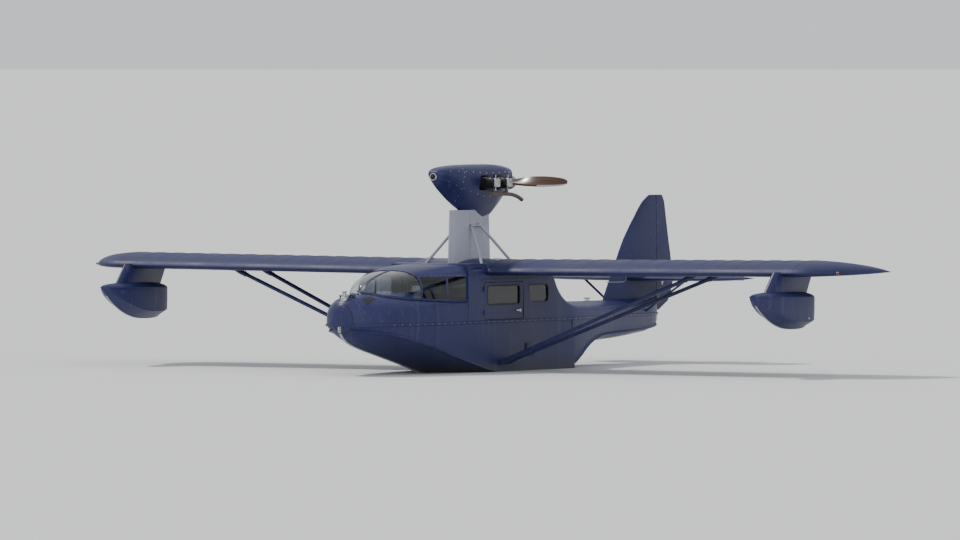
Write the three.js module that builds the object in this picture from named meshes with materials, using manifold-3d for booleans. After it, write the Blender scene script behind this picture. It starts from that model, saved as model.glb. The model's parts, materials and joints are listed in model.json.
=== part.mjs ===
// A light two-seat flying boat: strut-braced high wing, tip floats, pusher engine on a pylon.
// Millimetres. The nose points to -Y, the port side to +X, +Z is up.
// Z = 0 is the waterline afloat, X = 0 the centreline, Y = 0 half way along the wing's chord.
import * as THREE from "three";
import { mergeVertices } from "three/addons/utils/BufferGeometryUtils.js";
import Module from "manifold-3d";

const wasm = await Module();
wasm.setup();

// Driving dimensions
const SEAM = 0.4; // gap kept between pieces that touch
const HALF_SPAN = 5500;
const WING_CHORD = 1500;
const WING_Z = 1195; // chord line at the centreline
const WING_THICKNESS = 0.12; // share of the chord
const WING_CAMBER = 0.04;
const DIHEDRAL = Math.tan(THREE.MathUtils.degToRad(0.4));
const ROOT_X = 560; // joint between the wing centre section and each panel
const TIP_X = 4800; // where the rounded tip starts
const HULL_TOP = 600; // level joint between the hull and all that stands on it
const WALL = 35; // hull and cabin wall
const WELL_FRONT = -2250;
const WELL_REAR = 750;
const CABIN_FRONT = -1100;
const STEP_Y = 1250;
const CABIN_REAR = 1450;
const STERN_Y = 3930;
const ENGINE_Z = 2250; // propeller axis
const PROP_RADIUS = 880;
const PROP_FACE_Y = 520;

const NAVY = { color: 0x1b2130, roughness: 0.45, metalness: 0.1 };
const PALE = { color: 0xd2d3cf, roughness: 0.5, metalness: 0.1 };
const GLASS = { color: 0x9fb4bd, roughness: 0.08, metalness: 0 };
const WOOD = { color: 0x7c5a38, roughness: 0.6, metalness: 0 };
const LEATHER = { color: 0x4a3226, roughness: 0.6, metalness: 0 };
const STEEL = { color: 0x55595e, roughness: 0.4, metalness: 0.8 };
const ALLOY = { color: 0x9a9da0, roughness: 0.4, metalness: 0.9 };

const flyingBoat = new THREE.Group();
const vec = (x, y, z) => new THREE.Vector3(x, y, z);

// Solids: every body is held as a closed solid, so that it can be cut by its neighbours.

function asSolid(geometry) {
  const bare = geometry.clone();
  bare.deleteAttribute("normal");
  bare.deleteAttribute("uv");
  const merged = mergeVertices(bare, 1e-3);
  const mesh = new wasm.Mesh({
    numProp: 3,
    vertProperties: new Float32Array(merged.attributes.position.array),
    triVerts: new Uint32Array(merged.index.array),
  });
  return new wasm.Manifold(mesh);
}

function asGeometry(solid) {
  const { numProp, vertProperties, triVerts } = solid.getMesh();
  const points = [];
  for (let i = 0; i < vertProperties.length; i += numProp)
    points.push(...vertProperties.subarray(i, i + 3));
  const geometry = new THREE.BufferGeometry();
  geometry.setAttribute("position", new THREE.Float32BufferAttribute(points, 3));
  geometry.setIndex(Array.from(triVerts));
  return geometry;
}

function addPiece(name, solid, paint) {
  const geometry = asGeometry(solid).toNonIndexed();
  geometry.computeVertexNormals();
  const mesh = new THREE.Mesh(geometry, new THREE.MeshStandardMaterial(paint));
  mesh.name = name;
  flyingBoat.add(mesh);
}

const joined = (first, ...rest) => rest.reduce((a, b) => a.add(b), first);
const moved = (solid, x, y, z) => solid.translate([x, y, z]);

// Cuts a piece to lie against its neighbour, with the seam's gap in the direction given.
function against(solid, neighbour, [x, y, z]) {
  const shifted = moved(neighbour, x * SEAM, y * SEAM, z * SEAM);
  return solid.subtract(neighbour).subtract(shifted);
}

// The same body on the other side of the centreline.
function mirrored(solid) {
  return solid.mirror([1, 0, 0]);
}

// A closed body through rings of points, with flat ends. All rings have the same number of points.
function loft(rings) {
  const count = rings[0].length;
  const last = (rings.length - 1) * count;
  const faces = [];
  for (let start = 0; start < last; start += count)
    for (let i = 0; i < count; i++) {
      const a = start + i;
      const b = start + ((i + 1) % count);
      faces.push([a, b, b + count], [a, b + count, a + count]);
    }
  const caps = [
    [0, -1],
    [last, 1],
  ];
  for (const [start, turn] of caps) {
    const ring = rings[start / count];
    const normal = vec(0, 0, 0);
    ring.forEach((p, i) => normal.add(vec(0, 0, 0).crossVectors(p, ring[(i + 1) % count])));
    const [u, v] = ["x", "y", "z"].sort((p, q) => Math.abs(normal[p]) - Math.abs(normal[q]));
    const flat = ring.map((p) => new THREE.Vector2(p[u], p[v]));
    const ringArea = Math.sign(THREE.ShapeUtils.area(flat));
    for (const [a, b, c] of THREE.ShapeUtils.triangulateShape(flat, [])) {
      const same = Math.sign(THREE.ShapeUtils.area([flat[a], flat[b], flat[c]])) === ringArea;
      const face = same === turn > 0 ? [a, b, c] : [a, c, b];
      faces.push(face.map((i) => start + i));
    }
  }
  const points = rings.flat();
  let volume = 0;
  for (const [a, b, c] of faces)
    volume += points[a].dot(vec(0, 0, 0).crossVectors(points[b], points[c]));
  const index = volume > 0 ? faces.flat() : faces.flatMap(([a, b, c]) => [a, c, b]);
  const geometry = new THREE.BufferGeometry().setFromPoints(points);
  geometry.setIndex(index);
  return asSolid(geometry);
}

function box([x0, x1], [y0, y1], [z0, z1]) {
  const geometry = new THREE.BoxGeometry(x1 - x0, y1 - y0, z1 - z0);
  geometry.translate((x0 + x1) / 2, (y0 + y1) / 2, (z0 + z1) / 2);
  return asSolid(geometry);
}

// A flat outline of [y, z] points carried along X, or of [x, y] points along Z.
function extruded(outline, axis, from, to) {
  const shape = new THREE.Shape(outline.map(([a, b]) => new THREE.Vector2(a, b)));
  const depth = to - from;
  const geometry = new THREE.ExtrudeGeometry(shape, { depth, bevelEnabled: false });
  geometry.translate(0, 0, from);
  if (axis === "x") {
    const turn = new THREE.Matrix3(0, 0, 1, 1, 0, 0, 0, 1, 0);
    geometry.applyMatrix4(new THREE.Matrix4().setFromMatrix3(turn));
  }
  return asSolid(geometry);
}

// A rectangle with round corners, as a list of points.
function rounded([a0, a1], [b0, b1], radius) {
  const corners = [
    [a1 - radius, b0 + radius, -90],
    [a1 - radius, b1 - radius, 0],
    [a0 + radius, b1 - radius, 90],
    [a0 + radius, b0 + radius, 180],
  ];
  return corners.flatMap(([a, b, first]) =>
    [0, 30, 60, 90].map((more) => {
      const angle = THREE.MathUtils.degToRad(first + more);
      return [a + radius * Math.cos(angle), b + radius * Math.sin(angle)];
    }),
  );
}

// A solid of revolution about the line from one point to another; the profile holds [distance, radius].
function turned(from, to, profile, sides = 16) {
  const points = profile.map(([along, radius]) => new THREE.Vector2(radius, along));
  const geometry = new THREE.LatheGeometry(points, sides);
  const direction = to.clone().sub(from).normalize();
  geometry.applyQuaternion(new THREE.Quaternion().setFromUnitVectors(vec(0, 1, 0), direction));
  geometry.translate(from.x, from.y, from.z);
  const solid = asSolid(geometry);
  if (solid.volume() > 0) return solid;
  geometry.setIndex(Array.from(geometry.index.array).reverse());
  return asSolid(geometry);
}

function rod(from, to, radius, sides = 12) {
  const length = from.distanceTo(to);
  return turned(from, to, [[0, 0], [0, radius], [length, radius], [length, 0]], sides);
}

// A streamlined bar between two points, its chord lying along Y.
function fairedBar(from, to, chord, thickness) {
  const along = to.clone().sub(from).normalize();
  const back = vec(0, 1, 0).addScaledVector(along, -along.y).normalize();
  const across = vec(0, 0, 0).crossVectors(along, back);
  const section = foil(0, thickness / chord, 5).map(([u, h]) => [(u - 0.4) * chord, h * chord]);
  const ring = (centre) =>
    section.map(([b, a]) => centre.clone().addScaledVector(back, b).addScaledVector(across, a));
  return loft([ring(from), ring(to)]);
}

// Wing section of chord 1 as [along, up] points, from the trailing edge over the top and back.
function foil(camber, thickness, steps) {
  const crest = 0.4; // the mean line's highest point
  const at = (u, side) => {
    const shape = 0.2969 * Math.sqrt(u) - 0.126 * u - 0.3516 * u ** 2 + 0.2843 * u ** 3 - 0.1015 * u ** 4;
    const share = u < crest ? crest : 1 - crest;
    const mean = (camber / share ** 2) * (1 - 2 * crest + 2 * crest * u - u ** 2);
    const front = (camber / share ** 2) * (2 * crest * u - u ** 2);
    return [u, (u < crest ? front : mean) + side * 5 * thickness * shape];
  };
  const shares = Array.from({ length: steps + 1 }, (_, i) => (1 - Math.cos((Math.PI * i) / steps)) / 2);
  const top = shares.slice().reverse().map((u) => at(u, 1));
  const bottom = shares.slice(1).map((u) => at(u, -1));
  return [...top, ...bottom];
}

// Rows between those of a table, each column following a smooth curve.
function rowsBetween(table, from, to, count) {
  return Array.from({ length: count + 1 }, (_, i) => rowAt(table, from + ((to - from) * i) / count));
}

function rowAt(table, y) {
  let i = table.findIndex((row) => row.y >= y);
  if (i < 0) i = table.length - 1;
  i = Math.max(1, i);
  const [a, b] = [table[i - 1], table[i]];
  const share = (y - a.y) / (b.y - a.y);
  const slope = (k, column) => {
    const [p, q] = [table[Math.max(0, k - 1)], table[Math.min(table.length - 1, k + 1)]];
    return (q[column] - p[column]) / (q.y - p.y);
  };
  const row = { y };
  for (const column of Object.keys(a).filter((name) => name !== "y")) {
    const run = b.y - a.y;
    const [s2, s3] = [share ** 2, share ** 3];
    row[column] =
      a[column] * (2 * s3 - 3 * s2 + 1) +
      b[column] * (3 * s2 - 2 * s3) +
      slope(i - 1, column) * run * (s3 - 2 * s2 + share) +
      slope(i, column) * run * (s3 - s2);
  }
  return row;
}

// Hull lines, station by station: keel, chine and the half width where the hull meets the decks.
const columns = (names, rows) =>
  rows.map((row) => Object.fromEntries(names.map((name, i) => [name, row[i]])));

const forebodyLines = columns(
  ["y", "keelZ", "chineX", "chineZ", "topX"],
  [
    [-3030, 530, 60, 556, 95],
    [-2990, 468, 140, 545, 185],
    [-2880, 395, 235, 535, 285],
    [-2650, 322, 345, 512, 380],
    [-2300, 240, 445, 450, 470],
    [-1800, 125, 520, 320, 532],
    [CABIN_FRONT, -50, 552, 140, 556],
    [-400, -200, 560, -10, 560],
    [400, -245, 560, -52, 560],
    [STEP_Y, -255, 552, -62, 554],
  ],
);
const afterbodyLines = columns(
  ["y", "keelZ", "chineX", "chineZ", "topX"],
  [
    [STEP_Y, -120, 530, 60, 554],
    [CABIN_REAR, -20, 500, 150, 526],
    [1700, 125, 455, 275, 482],
    [2050, 255, 390, 370, 420],
    [2500, 300, 320, 400, 348],
    [3000, 328, 252, 410, 276],
    [3500, 372, 176, 434, 196],
    [3750, 402, 122, 460, 138],
    [STERN_Y, 462, 46, 510, 52],
  ],
);

// What stands on the hull: shoulder and crown heights, and how boxy the section is between them.
const deckLines = columns(
  ["y", "topX", "shoulderZ", "crownZ", "boxiness"],
  [
    [-3030, 95, 640, 800, 2],
    [-2990, 185, 662, 872, 2],
    [-2880, 285, 692, 928, 2],
    [-2650, 380, 728, 955, 2.1],
    [-2300, 470, 765, 968, 2.2],
    [-1800, 532, 795, 966, 2.3],
    [CABIN_FRONT, 556, 820, 958, 2.4],
  ],
);
const cabinLines = columns(
  ["y", "topX", "shoulderZ", "crownZ", "boxiness"],
  [
    [CABIN_FRONT, 556, 1085, 1262, 7],
    [-700, 559, 1085, 1285, 7],
    [400, 560, 1085, 1285, 7],
    [690, 559, 1080, 1192, 7],
    [765, 559, 1060, 1183, 6.5],
    [860, 559, 925, 1040, 5],
    [980, 558, 815, 925, 4],
    [1120, 557, 745, 858, 3],
    [STEP_Y, 554, 712, 822, 2.6],
    [CABIN_REAR, 526, 690, 800, 2.3],
  ],
);
const rearDeckLines = columns(
  ["y", "topX", "shoulderZ", "crownZ", "boxiness"],
  [
    [CABIN_REAR, 526, 690, 800, 2.3],
    [1700, 482, 690, 790, 2.2],
    [2050, 420, 685, 784, 2.1],
    [2500, 348, 680, 782, 2],
    [3000, 276, 680, 784, 2],
    [3500, 196, 685, 790, 2],
    [3750, 138, 688, 794, 2],
    [STERN_Y, 52, 694, 798, 2],
  ],
);

const bothSides = (half, y) => [
  ...half.map(([x, z]) => vec(x, y, z)),
  ...half.toReversed().filter(([x]) => x > 0).map(([x, z]) => vec(-x, y, z)),
];

// Bottom with a slight hollow between keel and chine; inset makes the inner surface of a wall.
function hullRing({ y, keelZ, chineX, chineZ, topX }, inset = 0, topZ = HULL_TOP) {
  const flareZ = keelZ + (chineZ - keelZ) * 0.42 + inset;
  return bothSides(
    [
      [0, keelZ + inset],
      [(chineX - inset) * 0.5, flareZ],
      [chineX - inset, chineZ + inset],
      [chineX + (topX - chineX) * 0.5 - inset, (chineZ + HULL_TOP) / 2],
      [topX - inset, topZ],
    ],
    y,
  );
}

function deckRing({ y, topX, shoulderZ, crownZ, boxiness }, inset = 0, baseZ = HULL_TOP + SEAM) {
  const width = topX * 0.988 - inset;
  const arch = [0, 14, 28, 42, 56, 72, 90].map((degrees) => {
    const angle = THREE.MathUtils.degToRad(degrees);
    const x = degrees === 90 ? 0 : width * Math.cos(angle) ** (2 / boxiness);
    return [x, shoulderZ + (crownZ - inset - shoulderZ) * Math.sin(angle) ** (2 / boxiness)];
  });
  return bothSides([[topX - inset, baseZ], ...arch], y);
}

const hullOuter = joined(
  loft([
    ...forebodyLines.slice(0, 3).map((row) => hullRing(row)),
    ...rowsBetween(forebodyLines, -2650, STEP_Y, 12).map((row) => hullRing(row)),
  ]),
  loft(rowsBetween(afterbodyLines, STEP_Y - 60, STERN_Y, 12).map((row) => hullRing(row))),
);
const wellInside = (inset, topZ) =>
  loft(rowsBetween(forebodyLines, WELL_FRONT, WELL_REAR, 8).map((row) => hullRing(row, inset, topZ)));
// Flat pads on the hull's sides take the beaching gear.
const beachingPad = box([530, 575], [140, 340], [170, 330]);
const hull = joined(
  hullOuter.subtract(wellInside(WALL, HULL_TOP + 50)),
  beachingPad.subtract(wellInside(WALL, HULL_TOP + 50)),
  mirrored(beachingPad.subtract(wellInside(WALL, HULL_TOP + 50))),
);

// Wing: a lofted section, rounded in plan at the tips.

const wingSection = foil(WING_CAMBER, WING_THICKNESS, 9);
const wingZ = (x) => WING_Z + DIHEDRAL * Math.max(0, x - ROOT_X);

function wingRing(x) {
  const out = Math.max(0, (x - TIP_X) / (HALF_SPAN - TIP_X));
  const chord = WING_CHORD * Math.sqrt(1 - out ** 2);
  const middle = 0.21 * (WING_CHORD - chord); // the tip's front edge is rounded more than its rear
  const thin = 1 - 0.12 * out;
  return wingSection.map(([u, h]) => vec(x, middle + (u - 0.5) * chord, wingZ(x) + h * chord * thin));
}

const tipStations = [15, 32, 48, 62, 74, 83].map(
  (degrees) => TIP_X + (HALF_SPAN - TIP_X) * Math.sin(THREE.MathUtils.degToRad(degrees)),
);
// Lifting pads stand on the front spar, either side of the engine pylon.
const liftingPad = box([440, 520], [-400, -320], [1300, 1352]);
const wingCentre = joined(
  loft([wingRing(-ROOT_X), wingRing(ROOT_X)]),
  liftingPad,
  mirrored(liftingPad),
);
const wingPanel = loft([wingRing(ROOT_X + SEAM), wingRing(TIP_X), ...tipStations.map(wingRing)]);

// Ailerons: hinged at 78 % of the chord, round nose, carried on a boss at each end.
const AILERON = { from: 3050, to: 4760, hingeY: 400, nose: 42, gap: 8, bossRadius: 14 };
const aileronHingeZ = (x) => wingZ(x) + 37.6; // the section's mean line there
const onAileronHinge = (x) => vec(x, AILERON.hingeY, aileronHingeZ(x));
const aileronBay = joined(
  box([AILERON.from - AILERON.gap, AILERON.to + AILERON.gap], [AILERON.hingeY, 900], [900, 1500]),
  rod(
    onAileronHinge(AILERON.from - AILERON.gap),
    onAileronHinge(AILERON.to + AILERON.gap),
    AILERON.nose + AILERON.gap,
    24,
  ),
);
const bossAt = (from, to) => rod(onAileronHinge(from), onAileronHinge(to), AILERON.bossRadius);
const wing = joined(
  wingPanel.subtract(aileronBay),
  bossAt(AILERON.from - AILERON.gap - 20, AILERON.from - SEAM),
  bossAt(AILERON.to + SEAM, AILERON.to + AILERON.gap + 20),
);
const aileron = joined(
  wingPanel.intersect(box([AILERON.from, AILERON.to], [AILERON.hingeY, 900], [900, 1500])),
  rod(onAileronHinge(AILERON.from), onAileronHinge(AILERON.to), AILERON.nose, 24),
);

// Fore deck: solid at the bow with a locker under its hatch, hollow over the footwell.

const deckOuter = loft([
  ...deckLines.slice(0, 3).map((row) => deckRing(row)),
  ...rowsBetween(deckLines, -2650, CABIN_FRONT - SEAM, 7).map((row) => deckRing(row)),
]);
const deckInside = (inset) =>
  loft(rowsBetween(deckLines, WELL_FRONT, CABIN_FRONT, 6).map((row) => deckRing(row, inset, HULL_TOP - 50)));

// Ahead of the seats the deck is open, from the instrument panel to the cabin.
const COCKPIT = { halfWidth: 498, front: -1310 };
const cockpitOpening = box([-COCKPIT.halfWidth, COCKPIT.halfWidth], [COCKPIT.front, CABIN_FRONT + 50], [780, 1200]);

const HATCH = { halfWidth: 130, front: -2850, rear: -2640, gap: 6, thickness: 14, lockerZ: 780 };
const hatchPlan = (gap) =>
  box([-HATCH.halfWidth - gap, HATCH.halfWidth + gap], [HATCH.front - gap, HATCH.rear + gap], [600, 1200]);
const locker = box(
  [-HATCH.halfWidth + 25, HATCH.halfWidth - 25],
  [HATCH.front + 25, HATCH.rear - 25],
  [HATCH.lockerZ, 1200],
);
const hatchRecess = hatchPlan(HATCH.gap).subtract(moved(deckOuter, 0, 0, -HATCH.thickness - SEAM));
const hatchHinge = { y: HATCH.front - HATCH.gap - 4, z: 956, radius: 7, x: [50, 85] };
const knuckle = ([from, to]) =>
  rod(vec(from, hatchHinge.y, hatchHinge.z), vec(to, hatchHinge.y, hatchHinge.z), hatchHinge.radius);
const hatchLeaf = ([from, to]) =>
  joined(
    box([from, to], [hatchHinge.y, HATCH.front + 30], [hatchHinge.z - 6, hatchHinge.z - 1]),
    box([from, to], [HATCH.front, HATCH.front + 30], [hatchHinge.z - 40, hatchHinge.z - 1]),
  );
const deckLug = ([from, to]) =>
  joined(
    knuckle([from, to]),
    box([from, to], [hatchHinge.y - 20, hatchHinge.y], [hatchHinge.z - 50, hatchHinge.z - 1]),
  );
const lidSpans = [[-hatchHinge.x[1], -hatchHinge.x[0]], hatchHinge.x];
const lugSpans = lidSpans.flatMap(([from, to]) => [
  [from - 15, from - SEAM],
  [to + SEAM, to + 15],
]);
const lidShell = deckOuter.intersect(hatchPlan(0)).subtract(moved(deckOuter, 0, 0, -HATCH.thickness));
const bowHatch = joined(lidShell, ...lidSpans.map(knuckle), ...lidSpans.map(hatchLeaf));
const foreDeck = joined(
  deckOuter.subtract(deckInside(25)).subtract(cockpitOpening).subtract(hatchRecess).subtract(locker),
  ...lugSpans.map(deckLug),
);

// Cabin: side walls that run up to the wing, a short roof ahead of it and a rear bulkhead.

const cabinOuter = loft(
  [CABIN_FRONT, -700, 400, 690, 765, 810, 860, 915, 980, 1120, STEP_Y, CABIN_REAR].map((y) =>
    deckRing(rowAt(cabinLines, y)),
  ),
);
const cabinHollow = box([-ROOT_X + WALL + 4, ROOT_X - WALL - 4], [-1300, WELL_REAR], [400, 1400]);
// The roof ahead of the wing: a thin panel that thickens to wrap the leading edge.
const ROOF_REAR = -690;
const roof = extruded(
  [
    [CABIN_FRONT, 1196],
    [CABIN_FRONT, 1293],
    [-960, 1302],
    [-800, 1298],
    [ROOF_REAR, 1284],
    [ROOF_REAR, 1150],
    [-790, 1150],
    [-800, 1250],
    [-960, 1240],
  ],
  "x",
  -545,
  545,
);

const DOOR = { front: -760, rear: 100, bottom: 628, top: 1066, gap: 6, inner: 521, outer: 553 };
const doorOutline = (grow) =>
  rounded([DOOR.front - grow, DOOR.rear + grow], [DOOR.bottom - grow, DOOR.top + grow], 30 + grow);
const doorWindow = (grow) => rounded([-690 - grow, 30 + grow], [800 - grow, 1030 + grow], 45 + grow);
const rearWindow = (grow) => rounded([225 - grow, 660 + grow], [815 - grow, 1030 + grow], 60 + grow);
const bothWalls = (outline) => extruded(outline, "x", -700, 700);
const wallPane = (outline) => extruded(outline, "x", 534, 540);

const doorHinge = { x: 563, y: DOOR.front - DOOR.gap, radius: 7, heights: [700, 980] };
const doorPin = (z0, z1) =>
  rod(vec(doorHinge.x, doorHinge.y, z0), vec(doorHinge.x, doorHinge.y, z1), doorHinge.radius);
const doorKnuckles = doorHinge.heights.flatMap((z) => [
  doorPin(z, z + 40),
  box([548, doorHinge.x], [doorHinge.y, DOOR.front + 30], [z, z + 40]),
]);
const postKnuckles = doorHinge.heights.flatMap((z) => [
  doorPin(z - 20, z - SEAM),
  box([548, doorHinge.x], [doorHinge.y - 25, doorHinge.y], [z - 20, z - SEAM]),
]);
const hingeRelief = doorHinge.heights.map((z) =>
  box([540, 600], [doorHinge.y - 12, DOOR.front], [z - SEAM, z + 46]),
);
const door = joined(
  extruded(doorOutline(0), "x", DOOR.inner, DOOR.outer),
  ...doorKnuckles,
).subtract(bothWalls(doorWindow(0)));

const cabinWalls = cabinOuter.subtract(cabinHollow);
let cabinShell = joined(cabinWalls.subtract(box([-700, 700], [ROOF_REAR, 1000], [WING_Z + 20, 1500])), roof)
  .subtract(bothWalls(doorOutline(DOOR.gap)))
  .subtract(bothWalls(rearWindow(0)));
for (const way of [[0, 0, -1], [0, -1, 0], [0, 0, 1]]) cabinShell = against(cabinShell, wingCentre, way);
for (const relief of hingeRelief) cabinShell = cabinShell.subtract(relief).subtract(mirrored(relief));
cabinShell = joined(cabinShell, ...postKnuckles, ...postKnuckles.map(mirrored));

// Windscreen: one blown sheet that stands on the fore deck and meets the cabin's front edge.
const screenLines = columns(
  ["y", "topX", "shoulderZ", "crownZ", "boxiness"],
  [
    [-2555, 60, 900, 962, 2],
    [-2540, 120, 905, 1000, 2],
    [-2500, 195, 912, 1050, 2],
    [-2420, 275, 925, 1102, 2.1],
    [-2280, 355, 940, 1158, 2.3],
    [-2050, 430, 965, 1212, 2.6],
    [-1750, 490, 1000, 1256, 3.2],
    [-1400, 525, 1030, 1282, 4.2],
    [CABIN_FRONT - SEAM, 538, 1058, 1290, 6],
  ],
);
const SCREEN_THICKNESS = 6;
const windscreen = against(
  loft(screenLines.map((row) => deckRing(row, 0, 780))).subtract(
    loft(screenLines.slice(1).map((row) => deckRing(row, SCREEN_THICKNESS, 770))),
  ),
  deckOuter,
  [0, 0, 1],
);

// Rear deck, with the heel bearing that carries the rudder.
const RUDDER = { hingeY: 3975, nose: 20, gap: 9, heelZ: 640 };
const onRudderHinge = (z) => vec(0, RUDDER.hingeY, z);
const rearDeck = joined(
  loft(rowsBetween(rearDeckLines, CABIN_REAR + SEAM, STERN_Y, 10).map((row) => deckRing(row))),
  box([-14, 14], [STERN_Y - 40, RUDDER.hingeY], [HULL_TOP + 10, RUDDER.heelZ - SEAM]),
  rod(onRudderHinge(HULL_TOP + 10), onRudderHinge(RUDDER.heelZ - SEAM), 14),
);

// Inside: floor, seat box, two seats, instrument panel and the control column.
const FLOOR_Z = 0;
const insideHull = wellInside(WALL + SEAM, HULL_TOP);
const floorProfile = [
  [WELL_REAR - SEAM, FLOOR_Z - 18],
  [WELL_REAR - SEAM, FLOOR_Z],
  [-950, FLOOR_Z],
  [-1850, 310],
  [-1850, 292],
  [-950, FLOOR_Z - 18],
];
const cabinFloor = extruded(floorProfile, "x", -540, 540).intersect(insideHull);
const seatBox = box([-440, 440], [-600, -110], [FLOOR_Z + SEAM, 180]).intersect(insideHull);
const SEAT = { inner: 22, outer: 438, baseZ: 180 };
const seatProfile = [
  [-620, SEAT.baseZ + SEAM],
  [-625, 265],
  [-600, 290],
  [-230, 268],
  [-175, 300],
  [-20, 800],
  [30, 830],
  [80, 800],
  [-50, 300],
  [-100, SEAT.baseZ + SEAM],
];
const seat = extruded(seatProfile, "x", SEAT.inner, SEAT.outer);
const panel = box([-530, 530], [-1345, -1318], [690, 1000]).intersect(deckInside(25 + SEAM));
const yoke = (x) =>
  joined(
    rod(vec(x, -1130, 600), vec(x, -1040, 600), 14),
    box([x - 120, x + 120], [-1052, -1030], [590, 612]),
    box([x - 130, x - 110], [-1056, -1026], [585, 690]),
    box([x + 110, x + 130], [-1056, -1026], [585, 690]),
  );
const underFloor = extruded([...floorProfile.slice(1, 4), [-1850, -300], [800, -300]], "x", -540, 540);
const controlColumn = joined(
  rod(vec(0, -990, FLOOR_Z - 20), vec(0, -1130, 600), 22),
  box([-260, 260], [-1145, -1118], [588, 614]),
  yoke(-230),
  yoke(230),
).subtract(moved(underFloor, 0, 0, SEAM));

// Lift struts: a V on each side, from the hull just over the chine to the wing.
const LIFT = { footX: 500, footZ: 80, topX: 3412, topZ: 1230, chord: 105, thickness: 44 };
const aboveWing = (x) => box([1000, 5600], [-900, 900], [wingZ(x) + 15, 1600]);
const liftStrut = (footY, topY) => {
  const foot = vec(LIFT.footX, footY, LIFT.footZ);
  const top = vec(LIFT.topX, topY, LIFT.topZ);
  const bar = fairedBar(foot, top, LIFT.chord, LIFT.thickness).subtract(aboveWing(3300));
  return against(against(bar, wing, [0, 0, -1]), hullOuter, [1, 0, 0]);
};

// Tip floats under the outer wing, each on a broad faired pylon.
const FLOAT_X = 4620;
const floatLines = columns(
  ["y", "chineX", "keelZ", "chineZ", "topX", "topZ", "crownZ"],
  [
    [-1280, 22, 912, 928, 34, 955, 978],
    [-1225, 62, 855, 892, 78, 955, 990],
    [-1090, 112, 755, 830, 128, 955, 1002],
    [-880, 152, 650, 740, 164, 953, 1010],
    [-650, 168, 585, 675, 178, 950, 1012],
    [-420, 170, 568, 655, 178, 945, 1010],
    [-200, 158, 574, 658, 164, 940, 1000],
    [-120, 134, 594, 672, 140, 934, 988],
  ],
);
const floatRing = ({ y, chineX, keelZ, chineZ, topX, topZ, crownZ }) =>
  bothSides(
    [
      [0, keelZ],
      [chineX, chineZ],
      [topX, (chineZ + topZ) / 2],
      [topX, topZ],
      [topX * 0.8, topZ + (crownZ - topZ) * 0.62],
      [topX * 0.42, topZ + (crownZ - topZ) * 0.93],
      [0, crownZ],
    ],
    y,
  );
const tipFloat = moved(
  loft([
    ...floatLines.slice(0, 2).map(floatRing),
    ...rowsBetween(floatLines, -1090, -120, 8).map(floatRing),
  ]),
  FLOAT_X,
  0,
  0,
);
const floatStemRing = (z, front, chord) =>
  foil(0, 140 / chord, 8).map(([u, h]) => vec(FLOAT_X + h * chord, front + u * chord, z));
const floatStem = loft([floatStemRing(900, -1100, 980), floatStemRing(1260, -800, 880)]);
const floatPylon = against(
  against(floatStem.subtract(aboveWing(FLOAT_X)), tipFloat, [0, 0, 1]),
  wing,
  [0, 0, -1],
);

// Engine pylon: a broad fin on the wing, its head carrying the engine through the cowl's belly.
const PYLON = { y: -225, footChord: 900, headChord: 830, thickness: 170, headZ: 1925, postZ: 2058 };
const pylonRing = (z, chord) =>
  foil(0, PYLON.thickness / chord, 8).map(([u, h]) => vec(h * chord, PYLON.y + (u - 0.5) * chord, z));
const pylonBlank = loft([pylonRing(1200, PYLON.footChord), pylonRing(PYLON.headZ, PYLON.headChord)]);
const enginePost = (grow) =>
  box([-45 - grow, 45 + grow], [-260 - grow, 120 + grow], [PYLON.headZ - 165, PYLON.postZ]);

// Cowl: a narrow pod with a V belly and an open tail, its sides cut away for the cylinders.
const cowlLines = columns(
  ["y", "halfWidth", "topZ", "bellyZ"],
  [
    [-1020, 60, 2385, 2275],
    [-985, 98, 2412, 2228],
    [-880, 142, 2440, 2152],
    [-640, 182, 2462, 2010],
    [-380, 198, 2470, 1892],
    [-110, 200, 2471, 1806],
    [130, 194, 2470, 1842],
    [320, 180, 2458, 1960],
    [480, 152, 2432, 2085],
  ],
);
const cowlRing = ({ y, halfWidth, topZ, bellyZ }, inset = 0) => {
  const [top, belly] = [topZ - inset, bellyZ + inset];
  const at = (share) => belly + (top - belly) * share;
  return bothSides(
    [
      [0, belly],
      [0.16, at(0.02)],
      [0.4, at(0.16)],
      [0.72, at(0.38)],
      [0.95, at(0.6)],
      [1, at(0.76)],
      [0.9, at(0.89)],
      [0.62, at(0.97)],
      [0.3, at(0.995)],
      [0, top],
    ].map(([share, z]) => [share * (halfWidth - inset), z]),
    y,
  );
};
const cowlStations = [...cowlLines.slice(0, 3), ...rowsBetween(cowlLines, -640, 480, 8)];
const cowlOuter = loft(cowlStations.map((row) => cowlRing(row)));
const cowlInner = joined(
  loft(cowlStations.slice(1).map((row) => cowlRing(row, 16))),
  box([-120, 120], [470, 500], [2120, 2370]),
);
const CYLINDERS = { radius: 74, rows: [-185, 85], stagger: 40, bay: 14 };
const cylinderBay = (side, y) => {
  const half = CYLINDERS.radius + CYLINDERS.bay;
  const [near, far] = [side * 110, side * 260];
  return box(
    [Math.min(near, far), Math.max(near, far)],
    [y - half, y + half],
    [ENGINE_Z - half, ENGINE_Z + half],
  );
};
const cylinderPlaces = [1, -1].flatMap((side) =>
  CYLINDERS.rows.map((y) => ({ side, y: y - (side * CYLINDERS.stagger) / 2 })),
);
const nostril = rod(vec(0, -1040, 2328), vec(0, -920, 2328), 36, 20);
let engineCowl = cowlOuter
  .subtract(cowlInner)
  .subtract(nostril)
  .subtract(enginePost(SEAM))
  .subtract(moved(enginePost(SEAM), 0, 0, -60));
for (const { side, y } of cylinderPlaces) engineCowl = engineCowl.subtract(cylinderBay(side, y));
const enginePylon = against(
  joined(against(pylonBlank, cowlOuter, [0, 0, -1]), enginePost(0)),
  wingCentre,
  [0, 0, 1],
).subtract(box([-500, 500], [-1200, 600], [1000, WING_Z + 40]));

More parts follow.
